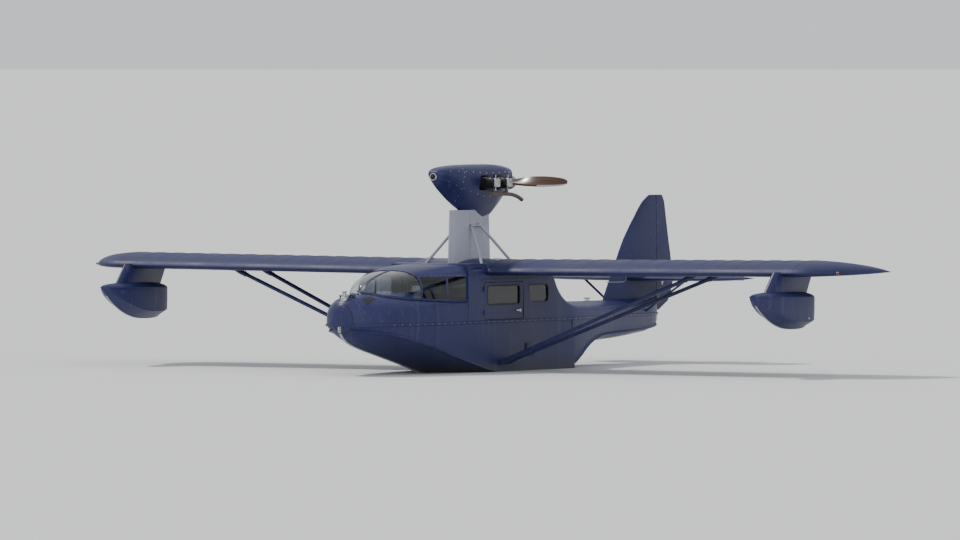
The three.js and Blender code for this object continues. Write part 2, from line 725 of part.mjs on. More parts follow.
// Engine: crankcase, sump and four finned cylinders lying flat, with the propeller's flange behind.
const finProfile = [[0, 0], [0, 62]];
for (const along of [75, 107, 139, 171])
  finProfile.push([along, 52], [along, CYLINDERS.radius], [along + 14, CYLINDERS.radius], [along + 14, 52]);
finProfile.push([205, 52], [205, 68], [290, 66], [300, 40], [300, 0]);
const cylinder = ({ side, y }) =>
  turned(vec(side * 85, y, ENGINE_Z), vec(side * 400, y, ENGINE_Z), finProfile, 10);
const engine = joined(
  box([-105, 105], [-330, 290], [ENGINE_Z - 95, ENGINE_Z + 95]),
  box([-70, 70], [-250, 110], [PYLON.postZ + SEAM, ENGINE_Z - 90]),
  rod(vec(0, 280, ENGINE_Z), vec(0, PROP_FACE_Y - 20, ENGINE_Z), 45, 20),
  rod(vec(0, PROP_FACE_Y - 20, ENGINE_Z), vec(0, PROP_FACE_Y, ENGINE_Z), 75, 24),
  ...cylinderPlaces.map(cylinder),
);

// Exhausts: a pipe under each bank, with a stub up to each cylinder head.
const exhaustPath = new THREE.CatmullRomCurve3([
  vec(335, -260, 2120),
  vec(335, 0, 2116),
  vec(330, 180, 2108),
  vec(322, 330, 2080),
  vec(315, 440, 2040),
]);
const circle = (radius, sides) =>
  new THREE.Shape(
    Array.from({ length: sides }, (_, i) => {
      const angle = (2 * Math.PI * i) / sides;
      return new THREE.Vector2(radius * Math.cos(angle), radius * Math.sin(angle));
    }),
  );
const pipe = asSolid(new THREE.ExtrudeGeometry(circle(24, 8), { steps: 8, extrudePath: exhaustPath }));
const exhaust = (side) => {
  const stubs = cylinderPlaces
    .filter((place) => place.side === side)
    .map(({ y }) => rod(vec(335, y, 2120), vec(335, y, ENGINE_Z - 50), 20, 8));
  const whole = joined(pipe, ...stubs);
  const placed = side > 0 ? whole : mirrored(whole);
  return against(placed, engine, [0, 0, -1]);
};

// Pylon struts: a V of tubes on each side, from the wing to the pylon's head.
const strutFeet = [-600, 130];
const pylonStrut = (y) => rod(vec(430, y, 1230), vec(50, -235 + (y + 235) * 0.2, 1800), 17, 10);
const strutHead = rod(vec(88, -350, 1740), vec(88, -120, 1740), 15, 10);
const pylonStruts = against(
  against(joined(strutHead, ...strutFeet.map(pylonStrut)), wingCentre, [0, 0, 1]),
  joined(pylonBlank, cowlOuter, box([-200, 200], [-600, 200], [1775, 2300])),
  [1, 0, 0],
)
  .subtract(box([-200, 40], [-900, 500], [1000, 2300]))
  .subtract(box([200, 600], [-900, 500], [1100, WING_Z + 40]));

// Propeller: two wooden blades, hub and spinner, pushing from behind the engine.
const bladeLines = columns(
  ["y", "chord", "thickness", "pitch"],
  [
    [30, 84, 0.62, 52],
    [120, 100, 0.36, 46],
    [280, 132, 0.17, 35],
    [480, 138, 0.12, 25],
    [680, 118, 0.1, 19],
    [820, 84, 0.09, 16],
    [PROP_RADIUS, 40, 0.08, 15],
  ],
);
const hubY = PROP_FACE_Y + SEAM + 48; // middle of the hub
const bladeRing = ({ y: radius, chord, thickness, pitch }) => {
  const angle = THREE.MathUtils.degToRad(pitch);
  return foil(0.03, thickness, 6).map(([u, h]) => {
    const [along, up] = [(u - 0.42) * chord, h * chord];
    return vec(
      radius,
      hubY + along * Math.sin(angle) + up * Math.cos(angle),
      ENGINE_Z + along * Math.cos(angle) - up * Math.sin(angle),
    );
  });
};
const blade = loft(rowsBetween(bladeLines, 30, PROP_RADIUS, 9).map(bladeRing));
const hub = rod(vec(0, PROP_FACE_Y + SEAM, ENGINE_Z), vec(0, hubY + 50, ENGINE_Z), 70, 20);
const otherBlade = moved(moved(blade, 0, 0, -ENGINE_Z).rotate([0, 180, 0]), 0, 0, ENGINE_Z);
const propeller = joined(hub, blade, otherBlade);
const spinner = turned(
  vec(0, hubY + 50 + SEAM, ENGINE_Z),
  vec(0, hubY + 400, ENGINE_Z),
  [[0, 0], [0, 92], [40, 88], [90, 72], [140, 44], [168, 16], [174, 0]],
  20,
);

// Fin and rudder: one swept outline, parted at the rudder's hinge.
const finLines = columns(
  ["y", "front", "rear", "thickness"],
  [
    [700, 2700, 4235, 0.045],
    [980, 2868, 4372, 0.05],
    [1250, 3045, 4335, 0.058],
    [1520, 3225, 4272, 0.066],
    [1800, 3480, 4212, 0.08],
    [1980, 3668, 4172, 0.09],
    [2060, 3815, 4120, 0.08],
  ],
);
const finRing = ({ y: z, front, rear, thickness }) =>
  foil(0, thickness, 8).map(([u, h]) => vec(h * (rear - front), front + u * (rear - front), z));
const finAndRudder = loft(finLines.map(finRing));
const behindHinge = box([-200, 200], [RUDDER.hingeY, 4500], [500, 2200]);
const rudderHeel = extruded(
  [[3900, 500], [3900, RUDDER.heelZ], [4030, RUDDER.heelZ], [4400, 815], [4500, 815], [4500, 500]],
  "x",
  -200,
  200,
);
const rudderFoot = loft([
  foil(0, 0.045, 8).map(([u, h]) => vec(h * 1535, 2700 + u * 1535, RUDDER.heelZ)),
  foil(0, 0.045, 8).map(([u, h]) => vec(h * 1535, 2700 + u * 1535, 702)),
]);
const rudder = joined(
  joined(finAndRudder, rudderFoot).intersect(behindHinge),
  rod(onRudderHinge(RUDDER.heelZ), onRudderHinge(2040), RUDDER.nose, 20),
).subtract(rudderHeel);

// Tailplane and elevator: cut through the fin, the elevator's halves on one torque tube.
const TAIL = { z: 1045, hingeY: 3790, nose: 26, gap: 11, halfSpan: 1450, tube: 13 };
const tailLines = columns(
  ["y", "front", "rear", "thickness"],
  [
    [0, 3230, 4150, 0.09],
    [1000, 3330, 4140, 0.085],
    [1230, 3390, 4118, 0.08],
    [1370, 3475, 4060, 0.075],
    [1430, 3560, 3985, 0.07],
    [TAIL.halfSpan, 3640, 3905, 0.06],
  ],
);
const tailRing = ({ y: x, front, rear, thickness }, side) =>
  foil(0, thickness, 7).map(([u, h]) => vec(side * x, front + u * (rear - front), TAIL.z + h * (rear - front)));
const tailWhole = loft([
  ...tailLines.slice(1).toReversed().map((row) => tailRing(row, -1)),
  ...tailLines.map((row) => tailRing(row, 1)),
]);
const tubeAt = (x0, x1, radius, sides = 24) =>
  rod(vec(x0, TAIL.hingeY, TAIL.z), vec(x1, TAIL.hingeY, TAIL.z), radius, sides);
const tailplane = tailWhole
  .subtract(box([-1600, 1600], [TAIL.hingeY, 4300], [900, 1200]))
  .subtract(tubeAt(-1600, 1600, TAIL.nose + TAIL.gap));
const elevatorPlan = (side) =>
  extruded(
    [[side * 52, TAIL.hingeY - 40], [side * 52, 3960], [side * 165, 4200], [side * 1600, 4200], [side * 1600, TAIL.hingeY - 40]],
    "z",
    900,
    1200,
  );
const elevatorBlank = joined(
  tailWhole.intersect(box([-1600, 1600], [TAIL.hingeY, 4300], [900, 1200])),
  tubeAt(-1380, 1380, TAIL.nose),
);
const elevator = joined(
  elevatorBlank.intersect(elevatorPlan(1)),
  elevatorBlank.intersect(elevatorPlan(-1)),
  tubeAt(-80, 80, TAIL.tube),
);
let fin = finAndRudder
  .subtract(behindHinge)
  .subtract(rod(onRudderHinge(500), onRudderHinge(2200), RUDDER.nose + RUDDER.gap, 24))
  .subtract(box([-200, 200], [STERN_Y, 4500], [500, 830]))
  .subtract(box([-200, 200], [TAIL.hingeY - 60, TAIL.hingeY], [TAIL.z - 28, TAIL.z + 28]))
  .subtract(tubeAt(-200, 200, TAIL.tube + 0.6))
  .subtract(box([-200, 200], [2600, STERN_Y], [600, 745]));
for (const way of [[0, 0, 1], [0, 0, -1], [0, -1, 0]]) fin = against(fin, tailplane, way);
fin = against(fin, rearDeck, [0, 0, 1]);

// Tail struts brace the tailplane from the hull's side.
const tailBar = fairedBar(vec(150, 3420, 600), vec(820, 3520, 1080), 60, 24);
const tailStrut = against(
  against(tailBar.subtract(box([0, 2000], [3000, 4000], [TAIL.z, 1300])), tailplane, [0, 0, -1]),
  rearDeck,
  [1, 0, 1],
).subtract(box([0, 2000], [3000, 4000], [400, HULL_TOP + 30]));

// Mooring bitt: a post with a crossbar and a flat head, on the fore deck.
const BITT = { y: -2930, footZ: 860, flangeZ: 936, barZ: 962, headZ: 992 };
const bittPost = joined(
  rod(vec(0, BITT.y, BITT.footZ), vec(0, BITT.y, BITT.headZ), 24, 16),
  rod(vec(0, BITT.y, BITT.headZ), vec(0, BITT.y, BITT.headZ + 12), 34, 20),
  rod(vec(-75, BITT.y, BITT.barZ), vec(75, BITT.y, BITT.barZ), 11),
  rod(vec(0, BITT.y, BITT.footZ), vec(0, BITT.y, BITT.flangeZ), 44, 20),
);
const mooringBitt = against(bittPost, deckOuter, [0, 0, 1]);

addPiece("hull", hull, NAVY);
addPiece("fore_deck", foreDeck, NAVY);
addPiece("bow_hatch", bowHatch, NAVY);
addPiece("mooring_bitt", mooringBitt, ALLOY);
addPiece("cabin_shell", cabinShell, NAVY);
addPiece("windscreen", windscreen, GLASS);
addPiece("rear_deck", rearDeck, NAVY);
addPiece("cabin_floor", cabinFloor, WOOD);
addPiece("seat_box", seatBox, WOOD);
addPiece("instrument_panel", panel, STEEL);
addPiece("control_column", controlColumn, STEEL);
addPiece("wing_centre", wingCentre, NAVY);
addPiece("engine_pylon", enginePylon, PALE);
addPiece("engine_cowl", engineCowl, NAVY);
addPiece("engine", engine, ALLOY);
addPiece("propeller", propeller, WOOD);
addPiece("spinner", spinner, PALE);
addPiece("fin", fin, NAVY);
addPiece("rudder", rudder, NAVY);
addPiece("tailplane", tailplane, NAVY);
addPiece("elevator", elevator, NAVY);

// Pieces that come in pairs; port is left.
const pairs = [
  ["wing", wing, NAVY],
  ["aileron", aileron, NAVY],
  ["door", door, NAVY],
  ["door_glass", wallPane(doorWindow(-SEAM)), GLASS],
  ["rear_window", wallPane(rearWindow(-SEAM)), GLASS],
  ["seat", seat, LEATHER],
  ["lift_strut_front", liftStrut(-430, -385), NAVY],
  ["lift_strut_rear", liftStrut(-290, 200), NAVY],
  ["float", tipFloat, NAVY],
  ["float_pylon", floatPylon, NAVY],
  ["pylon_strut", pylonStruts, PALE],
  ["tail_strut", tailStrut, NAVY],
];
for (const [name, solid, paint] of pairs) {
  addPiece(`${name}_left`, solid, paint);
  addPiece(`${name}_right`, mirrored(solid), paint);
}
addPiece("exhaust_left", exhaust(1), STEEL);
addPiece("exhaust_right", exhaust(-1), STEEL);

export default flyingBoat;
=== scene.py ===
import json
from math import atan2, cos, exp, pi, radians, sin, sqrt, tan

import bmesh
import bpy
from mathutils import Matrix, Vector

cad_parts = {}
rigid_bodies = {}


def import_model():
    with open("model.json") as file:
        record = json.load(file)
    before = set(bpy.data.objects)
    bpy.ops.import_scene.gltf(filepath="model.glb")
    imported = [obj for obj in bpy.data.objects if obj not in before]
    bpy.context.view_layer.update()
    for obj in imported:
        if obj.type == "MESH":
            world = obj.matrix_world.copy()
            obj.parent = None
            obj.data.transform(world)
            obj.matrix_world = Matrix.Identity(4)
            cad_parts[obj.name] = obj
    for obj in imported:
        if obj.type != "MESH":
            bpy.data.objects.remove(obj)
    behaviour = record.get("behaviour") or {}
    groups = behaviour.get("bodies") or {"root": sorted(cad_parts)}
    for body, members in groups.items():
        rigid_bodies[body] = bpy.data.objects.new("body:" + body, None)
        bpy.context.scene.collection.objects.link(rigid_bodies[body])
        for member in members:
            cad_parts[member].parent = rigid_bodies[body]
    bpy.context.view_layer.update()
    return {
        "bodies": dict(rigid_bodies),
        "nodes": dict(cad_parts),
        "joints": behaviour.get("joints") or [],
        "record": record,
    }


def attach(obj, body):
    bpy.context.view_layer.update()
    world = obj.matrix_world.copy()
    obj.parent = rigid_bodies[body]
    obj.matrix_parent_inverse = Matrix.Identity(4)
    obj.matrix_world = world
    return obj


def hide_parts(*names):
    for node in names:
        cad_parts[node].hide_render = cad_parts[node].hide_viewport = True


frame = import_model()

# The view
# A long lens looks along the water, from 33 degrees off the nose and a little above the surface,
# under a soft sun and a pale sky.
VIEW_AZIMUTH = radians(33)
VIEW_ELEVATION = radians(1.2)
VIEW_DISTANCE = 120
VIEW_TARGET = Vector((0, 0, 1.2))


def placed(name, data):
    """A new object in the scene."""
    made = bpy.data.objects.new(name, data)
    bpy.context.scene.collection.objects.link(made)
    return made


eye = bpy.data.cameras.new("eye")
eye.lens = 375
eye.clip_start = 1
eye.clip_end = 20000
camera = placed("eye", eye)
away = Vector((
    sin(VIEW_AZIMUTH) * cos(VIEW_ELEVATION), -cos(VIEW_AZIMUTH) * cos(VIEW_ELEVATION), sin(VIEW_ELEVATION),
))
camera.location = VIEW_TARGET + away * VIEW_DISTANCE
camera.rotation_euler = away.to_track_quat("Z", "Y").to_euler()
bpy.context.scene.camera = camera


def sunlight(name, toward, energy, color, spread):
    """A distant lamp; toward points from the boat to it."""
    lamp = bpy.data.lights.new(name, "SUN")
    lamp.energy = energy
    lamp.color = color
    lamp.angle = radians(spread)
    placed(name, lamp).rotation_euler = Vector(toward).to_track_quat("Z", "Y").to_euler()


sunlight("sun", (-0.545, -0.125, 0.815), 2.6, (1.0, 0.96, 0.92), 3)
sunlight("open_sky", (0.7, -0.6, 0.35), 0.9, (0.93, 0.95, 1.0), 60)

sky = bpy.data.worlds.new("sky")
sky.use_nodes = True
sky.node_tree.nodes["Background"].inputs["Color"].default_value = (0.86, 0.88, 0.9, 1)
sky.node_tree.nodes["Background"].inputs["Strength"].default_value = 0.9
bpy.context.scene.world = sky


# Hull
# A hard-chine plywood hull, hollow at the cabin, with a step in its bottom. Painted dark navy
# outside and grey inside, a pale grey darkened as a painted shade for the dim cabin. Every lofted
# body of the boat is made by the same few steps.
class Row(dict):
    """One row of a table; its columns are read by name."""

    __getattr__ = dict.__getitem__


def made_rows(names, table):
    return [Row(zip(names.split(), row)) for row in table]


def row_at(table, y):
    """One row of a table, each of its columns following a smooth curve along the boat."""
    i = next((k for k, row in enumerate(table) if row.y >= y - 1e-9), len(table) - 1)
    i = max(1, i)
    a, b = table[i - 1], table[i]
    run = b.y - a.y
    t = (y - a.y) / run
    found = Row(y=y)

    def slope(k, column):
        p, q = table[max(0, k - 1)], table[min(len(table) - 1, k + 1)]
        return (q[column] - p[column]) / (q.y - p.y)

    for column in a:
        if column == "y":
            continue
        found[column] = (
            a[column] * (2 * t**3 - 3 * t**2 + 1) + b[column] * (3 * t**2 - 2 * t**3)
            + slope(i - 1, column) * run * (t**3 - 2 * t**2 + t) + slope(i, column) * run * (t**3 - t**2)
        )
    return found


def steps(start, end, count):
    return [start + (end - start) * i / count for i in range(count + 1)]


def both_sides(half, y):
    """A closed outline across the boat from one half of it, which starts and may end on X = 0."""
    left = [Vector((x, y, z)) for x, z in half]
    right = [Vector((-x, y, z)) for x, z in reversed(half) if x > 1e-6]
    return left + right


def in_fixed_order(bm):
    """Orders edges and faces by their corners, since some operators add them in no fixed order."""
    bm.verts.index_update()
    count = len(bm.verts)

    def rank(part):
        corners = [v.index for v in part.verts]
        return min(corners) * count + max(corners) + sum(corners) / (len(corners) * count)

    for parts in (bm.edges, bm.faces):
        parts.sort(key=rank)
        parts.index_update()


def lofted(rings, closed=True, ends=True, loop=False):
    """Extrudes the first outline through all the others; ends closes it, loop joins last to first."""
    bm = bmesh.new()
    ring = [bm.verts.new(place) for place in rings[0]]
    first = ring
    partners = ring[1:] + ring[:1] if closed else ring[1:]
    edges = [bm.edges.new(pair) for pair in zip(ring, partners)]
    if ends and closed and not loop:
        bm.faces.new(ring)
    for places in rings[1:]:
        made = bmesh.ops.extrude_edge_only(bm, edges=edges)["geom"]
        fresh = {v for v in made if isinstance(v, bmesh.types.BMVert)}
        ring = [next(o for o in (e.other_vert(v) for e in v.link_edges) if o in fresh) for v in ring]
        edges = [e for e in made if isinstance(e, bmesh.types.BMEdge) and set(e.verts) <= fresh]
        for vert, place in zip(ring, places):
            vert.co = place
    if ends and closed and not loop:
        bm.faces.new(ring)
    if loop:
        first_edges = [bm.edges.get(pair) for pair in zip(first, first[1:] + first[:1])]
        bmesh.ops.bridge_loops(bm, edges=edges + first_edges)
    in_fixed_order(bm)
    bmesh.ops.recalc_face_normals(bm, faces=bm.faces)
    return bm


def carried(ring, table, stations, *settings):
    """Lofts one kind of outline through a table's rows at these stations."""
    return lofted([ring(row_at(table, y), *settings) for y in stations])


def slab(outline, axis, start, end):
    """A flat outline of [y, z] points carried along X, or of [x, y] points carried along Z."""
    place = {"x": lambda a, b, s: Vector((s, a, b)), "z": lambda a, b, s: Vector((a, b, s))}[axis]
    return lofted([[place(a, b, s) for a, b in outline] for s in (start, end)])


def block(x, y, z):
    return slab([(y[0], z[0]), (y[1], z[0]), (y[1], z[1]), (y[0], z[1])], "x", *x)


def aimed(point, facing):
    """Places what stands on the origin at a point, with its Z axis facing another way."""
    return Matrix.Translation(point) @ Vector(facing).to_track_quat("Z", "Y").to_matrix().to_4x4()


def rod(start, end, radius, sides=16):
    """A round bar between two points."""
    start, end = Vector(start), Vector(end)
    bm = bmesh.new()
    bmesh.ops.create_cone(
        bm, cap_ends=True, segments=sides, radius1=radius, radius2=radius, depth=(end - start).length,
        matrix=aimed((start + end) / 2, end - start),
    )
    return bm


def as_mesh(name, bm):
    mesh = bpy.data.meshes.new(name)
    bm.to_mesh(mesh)
    bm.free()
    return mesh


def combined(first, second, way, inside=False):
    """Joins, cuts or keeps what two closed bodies share; inside marks the cut's faces as lining."""
    if inside:
        for face in second.faces:
            face.material_index = 1
    shapes = []
    for bm in (first, second):
        shapes.append(placed("blank", as_mesh("blank", bm)))
        for slot in range(2):
            shapes[-1].data.materials.append(None)
    cut = shapes[0].modifiers.new("cut", "BOOLEAN")
    cut.object = shapes[1]
    cut.operation = way
    cut.solver = "EXACT"
    result = bmesh.new()
    bpy.context.view_layer.update()
    result.from_object(shapes[0], bpy.context.evaluated_depsgraph_get())
    for shape in shapes:
        mesh = shape.data
        bpy.data.objects.remove(shape)
        bpy.data.meshes.remove(mesh)
    return result


def cut(body, *tools, inside=False):
    for tool in tools:
        body = combined(body, tool, "DIFFERENCE", inside)
    return body


def joined(body, *others):
    for other in others:
        body = combined(body, other, "UNION")
    return body


def shared(first, second):
    return combined(first, second, "INTERSECT")


def together(*bodies):
    """Puts bodies that don't touch into one mesh."""
    whole = bmesh.new()
    for bm in bodies:
        mesh = as_mesh("blank", bm)
        whole.from_mesh(mesh)
        bpy.data.meshes.remove(mesh)
    return whole


def other_side(bm):
    """The same body on the other side of the centreline."""
    twin = bm.copy()
    bmesh.ops.scale(twin, vec=(-1, 1, 1), verts=twin.verts)
    bmesh.ops.reverse_faces(twin, faces=twin.faces)
    return twin


def twins(bm):
    return together(bm, other_side(bm))


def on_side(bm, side):
    return other_side(bm) if side < 0 else bm.copy()


SIDES = ((1, "left"), (-1, "right"))


def piece(name, bm, finishes, replaces=(), body="airframe", corner=32):
    """Ends a piece: smooth shading with sharp corners, its finishes and its CAD body."""
    finishes = finishes if isinstance(finishes, list) else [finishes]
    bmesh.ops.remove_doubles(bm, verts=bm.verts, dist=0.00002)
    for face in bm.faces:
        face.smooth = True
    for edge in bm.edges:
        edge.smooth = len(edge.link_faces) == 2 and edge.calc_face_angle(0) < radians(corner)
    made = placed(name, as_mesh(name, bm))
    for material in finishes:
        made.data.materials.append(material)
    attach(made, body)
    if replaces:
        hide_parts(*replaces)
    return made


def node(tree, kind, inputs=None, **settings):
    """Adds a shader node; inputs are values or the sockets that feed them."""
    made = tree.nodes.new("ShaderNode" + kind)
    for key, value in settings.items():
        setattr(made, key, value)
    for key, value in (inputs or {}).items():
        if isinstance(value, bpy.types.NodeSocket):
            tree.links.new(value, made.inputs[key])
        else:
            made.inputs[key].default_value = value
    return made


def noise(tree, vector, scale, detail=3, rough=0.55):
    made = node(tree, "TexNoise", {"Vector": vector, "Scale": scale, "Detail": detail, "Roughness": rough})
    return made.outputs["Fac"]


def stretched(tree, low, high, value, to_low=0, to_high=1):
    inputs = {"Value": value, "From Min": low, "From Max": high, "To Min": to_low, "To Max": to_high}
    return node(tree, "MapRange", inputs).outputs["Result"]


def maths(tree, operation, a, b=0.0):
    return node(tree, "Math", {0: a, 1: b}, operation=operation).outputs[0]


def times(tree, a, b):
    return maths(tree, "MULTIPLY", a, b)


def plus(tree, a, b):
    return maths(tree, "ADD", a, b)


def blended(tree, factor, a, b):
    """Mixes two colours, each three values or a socket."""
    a, b = [(*color, 1) if isinstance(color, tuple) else color for color in (a, b)]
    return node(tree, "Mix", {"Factor": factor, "A": a, "B": b}, data_type="RGBA").outputs["Result"]


def spot(tree):
    return node(tree, "TexCoord").outputs["Object"]


def finish(name):
    """A new material, its node tree and its shader's sockets."""
    made = bpy.data.materials.new(name)
    made.use_nodes = True
    return made, made.node_tree, made.node_tree.nodes["Principled BSDF"].inputs


def fed(tree, sockets, **values):
    """Sets or links the shader's sockets; an underscore in a name stands for a space."""
    for label, value in values.items():
        socket = sockets[label.replace("_", " ")]
        if isinstance(value, bpy.types.NodeSocket):
            tree.links.new(value, socket)
        else:
            socket.default_value = value


def bumped(tree, strength, distance, height):
    made = node(tree, "Bump", {"Strength": strength, "Distance": distance, "Height": height})
    return made.outputs["Normal"]


def effect(name, inputs, outputs):
    """A shared shader effect: a node group with named inputs and outputs."""
    group = bpy.data.node_groups.new(name, "ShaderNodeTree")
    for way, labels in (("INPUT", inputs), ("OUTPUT", outputs)):
        for label in labels:
            socket = group.interface.new_socket(label, in_out=way, socket_type="NodeSocketFloat")
            if way == "INPUT":
                socket.default_value = inputs[label]
    return group, group.nodes.new("NodeGroupInput").outputs, group.nodes.new("NodeGroupOutput").inputs


# Weather on paint: broad fading, small dried spots, runs down the sides and a stain at the water.
weather, given, gives = effect(
    "weather", {"Runs": 1.0, "Seam Spacing": 1.2}, ["Fade", "Spots", "Runs", "Tide", "Seam", "Height"],
)
place = spot(weather)
axes = node(weather, "SeparateXYZ", {"Vector": place}).outputs
fade = stretched(weather, 0.35, 0.72, noise(weather, place, 0.9, 5))
spots = stretched(weather, 0.62, 0.7, noise(weather, place, 26, 2))
tall = node(weather, "Mapping", {"Vector": place, "Scale": (14, 14, 0.7)}).outputs["Vector"]
runs = times(weather, stretched(weather, 0.58, 0.75, noise(weather, tall, 1.0, 3)), given["Runs"])
edge = plus(weather, axes["Z"], times(weather, noise(weather, place, 7, 4), 0.12))
tide = stretched(weather, 0.19, 0.05, edge)
along = maths(weather, "DIVIDE", axes["Y"], given["Seam Spacing"])
off_seam = maths(weather, "ABSOLUTE", maths(weather, "SUBTRACT", maths(weather, "FRACT", along), 0.5))
seam = stretched(weather, 0.0025, 0.006, times(weather, off_seam, given["Seam Spacing"]), 1, 0)
ripple = times(weather, noise(weather, place, 2.6, 2), 0.6)
peel = plus(weather, ripple, times(weather, noise(weather, place, 160, 2), 0.05))
height = maths(weather, "SUBTRACT", peel, times(weather, seam, 0.3))
for label, value in zip(gives.keys(), [fade, spots, runs, tide, seam, height]):
    weather.links.new(value, gives[label])


def painted(name, color, faded, rough, runs_weight=0.6, tide_weight=1.0, seams=1.2):
    """Gloss paint on plywood or metal, weathered."""
    made, tree, sockets = finish(name)
    worn = node(tree, "Group", {"Runs": runs_weight, "Seam Spacing": seams}, node_tree=weather).outputs
    tide_share = times(tree, worn["Tide"], 0.55 * tide_weight)
    stains = [
        (times(tree, worn["Spots"], 0.06), (0.42, 0.43, 0.42)),
        (times(tree, worn["Runs"], 0.1), (0.4, 0.4, 0.37)), (tide_share, (0.10, 0.105, 0.06)),
        (times(tree, worn["Seam"], 0.6), (0.004, 0.004, 0.005)),
    ]
    tone = blended(tree, worn["Fade"], color, faded)
    for share, stain in stains:
        tone = blended(tree, share, tone, stain)
    shine = stretched(tree, 0, 1, worn["Fade"], rough, rough + 0.16)
    shine = plus(tree, shine, times(tree, worn["Spots"], 0.2))
    shine = plus(tree, shine, times(tree, tide_share, 0.4))
    normal = bumped(tree, 0.5, 0.004, worn["Height"])
    fed(tree, sockets, Base_Color=tone, Roughness=shine, Specular_IOR_Level=0.32, Normal=normal)
    return made


navy = painted("navy paint", (0.013, 0.016, 0.072), (0.022, 0.026, 0.098), 0.34)
# The lining grey is kept dark, partly as a painted shade for the dim inside of the cabin.
lining = painted("lining paint", (0.2, 0.21, 0.22), (0.16, 0.17, 0.18), 0.5, 0.2, 0, 0.6)

HULL_TOP = 0.6
WALL = 0.035
WELL_FRONT = -2.25
WELL_REAR = 0.75
CABIN_FRONT = -1.1
STEP_Y = 1.25
CABIN_REAR = 1.45
STERN_Y = 3.93
hull_names = "y keel chine_x chine_z top_x"
forebody = made_rows(hull_names, [
    (-3.03, 0.53, 0.06, 0.556, 0.095),
    (-2.99, 0.468, 0.14, 0.545, 0.185),
    (-2.88, 0.395, 0.235, 0.535, 0.285),
    (-2.65, 0.322, 0.345, 0.512, 0.38),
    (-2.3, 0.24, 0.445, 0.45, 0.47),
    (-1.8, 0.125, 0.52, 0.32, 0.532),
    (CABIN_FRONT, -0.05, 0.552, 0.14, 0.556),
    (-0.4, -0.2, 0.56, -0.01, 0.56),
    (0.4, -0.245, 0.56, -0.052, 0.56),
    (STEP_Y, -0.255, 0.552, -0.062, 0.554),
])
afterbody = made_rows(hull_names, [
    (STEP_Y, -0.12, 0.53, 0.06, 0.554),
    (CABIN_REAR, -0.02, 0.5, 0.15, 0.526),
    (1.7, 0.125, 0.455, 0.275, 0.482),
    (2.05, 0.255, 0.39, 0.37, 0.42),
    (2.5, 0.3, 0.32, 0.4, 0.348),
    (3.0, 0.328, 0.252, 0.41, 0.276),
    (3.5, 0.372, 0.176, 0.434, 0.196),
    (3.75, 0.402, 0.122, 0.46, 0.138),
    (STERN_Y, 0.462, 0.046, 0.51, 0.052),
])
bow_stations = [-3.03, -3.015, -2.99, -2.95, -2.88, -2.8, -2.72]


def hull_ring(row, inset=0.0, top=HULL_TOP):
    """Across the hull: hollow V bottom, hard chine, nearly upright side."""
    rise = row.chine_z - row.keel
    chine = row.chine_x - inset
    bottom = [(chine * t, row.keel + inset + rise * (0.68 * t + 0.32 * t * t)) for t in steps(0, 1, 6)]
    side = [
        (chine + (row.top_x - inset - chine) * t, row.chine_z + inset * (1 - t) + (top - row.chine_z) * t)
        for t in steps(0, 1, 4)[1:]
    ]
    return both_sides(bottom + side, row.y)


front_hull = carried(hull_ring, forebody, bow_stations + steps(-2.65, STEP_Y, 34))
rear_hull = carried(hull_ring, afterbody, steps(STEP_Y - 0.06, STERN_Y, 30))


def well(inset, top):
    return carried(hull_ring, forebody, steps(WELL_FRONT, WELL_REAR, 18), inset, top)


hull_body = joined(front_hull, rear_hull)
hull_solid = hull_body.copy()
hull_body = cut(hull_body, well(WALL, HULL_TOP + 0.05), inside=True)
piece("hull_shell", hull_body, [navy, lining], ["hull"], corner=24)


# The pale floor, which stands for calm water. It lies at the waterline and is open inside the hull,
# so that the cabin's own floor shows there.
def waterline_half(row, inset):
    """How far from the centreline the hull's section crosses the water."""
    ring = hull_ring(row, inset)
    for low, high in zip(ring, ring[1:]):
        if low.z <= 0 < high.z:
            return low.x + (high.x - low.x) * low.z / (low.z - high.z)
    return 0.0


wet_rows = [row_at(forebody, y) for y in steps(-1.19, WELL_REAR + 0.01, 24)]
shore = [Vector((waterline_half(row, WALL / 2), row.y, 0)) for row in wet_rows]
shore += [Vector((-p.x, p.y, 0)) for p in reversed(shore)]
water = bmesh.new()
bmesh.ops.create_circle(water, radius=4000, segments=64)
brink = [water.verts.new(p) for p in shore]
for pair in zip(brink, brink[1:] + brink[:1]):
    water.edges.new(pair)
bmesh.ops.bridge_loops(water, edges=water.edges)
floor = placed("floor", as_mesh("floor", water))
floor_paint, tree, sockets = finish("pale floor")
fed(tree, sockets, Base_Color=(0.62, 0.63, 0.64, 1), Roughness=0.75)
floor.data.materials.append(floor_paint)


# Rails on the hull: spruce spray rails on the chines, a rubbing strake over the joint with the decks,
# and a bright alloy keel band, all screwed on.
def swept(path, outline, up, loop=False):
    """Carries a flat outline along a path; up is one direction, or one for each point."""
    path = [Vector(point) for point in path]
    rings = []
    last = len(path) - 1
    for i, point in enumerate(path):
        before = path[i - 1] if loop or i else path[0]
        after = path[(i + 1) % len(path)] if loop or i < last else path[last]
        along = (after - before).normalized()
        over = up[i] if isinstance(up, list) else up
        side = along.cross(over).normalized()
        over = side.cross(along).normalized()
        rings.append([point + side * a + over * b for a, b in outline])
    return lofted(rings, loop=loop)


def flipped(path):
    return [Vector((-p.x, p.y, p.z)) for p in path]


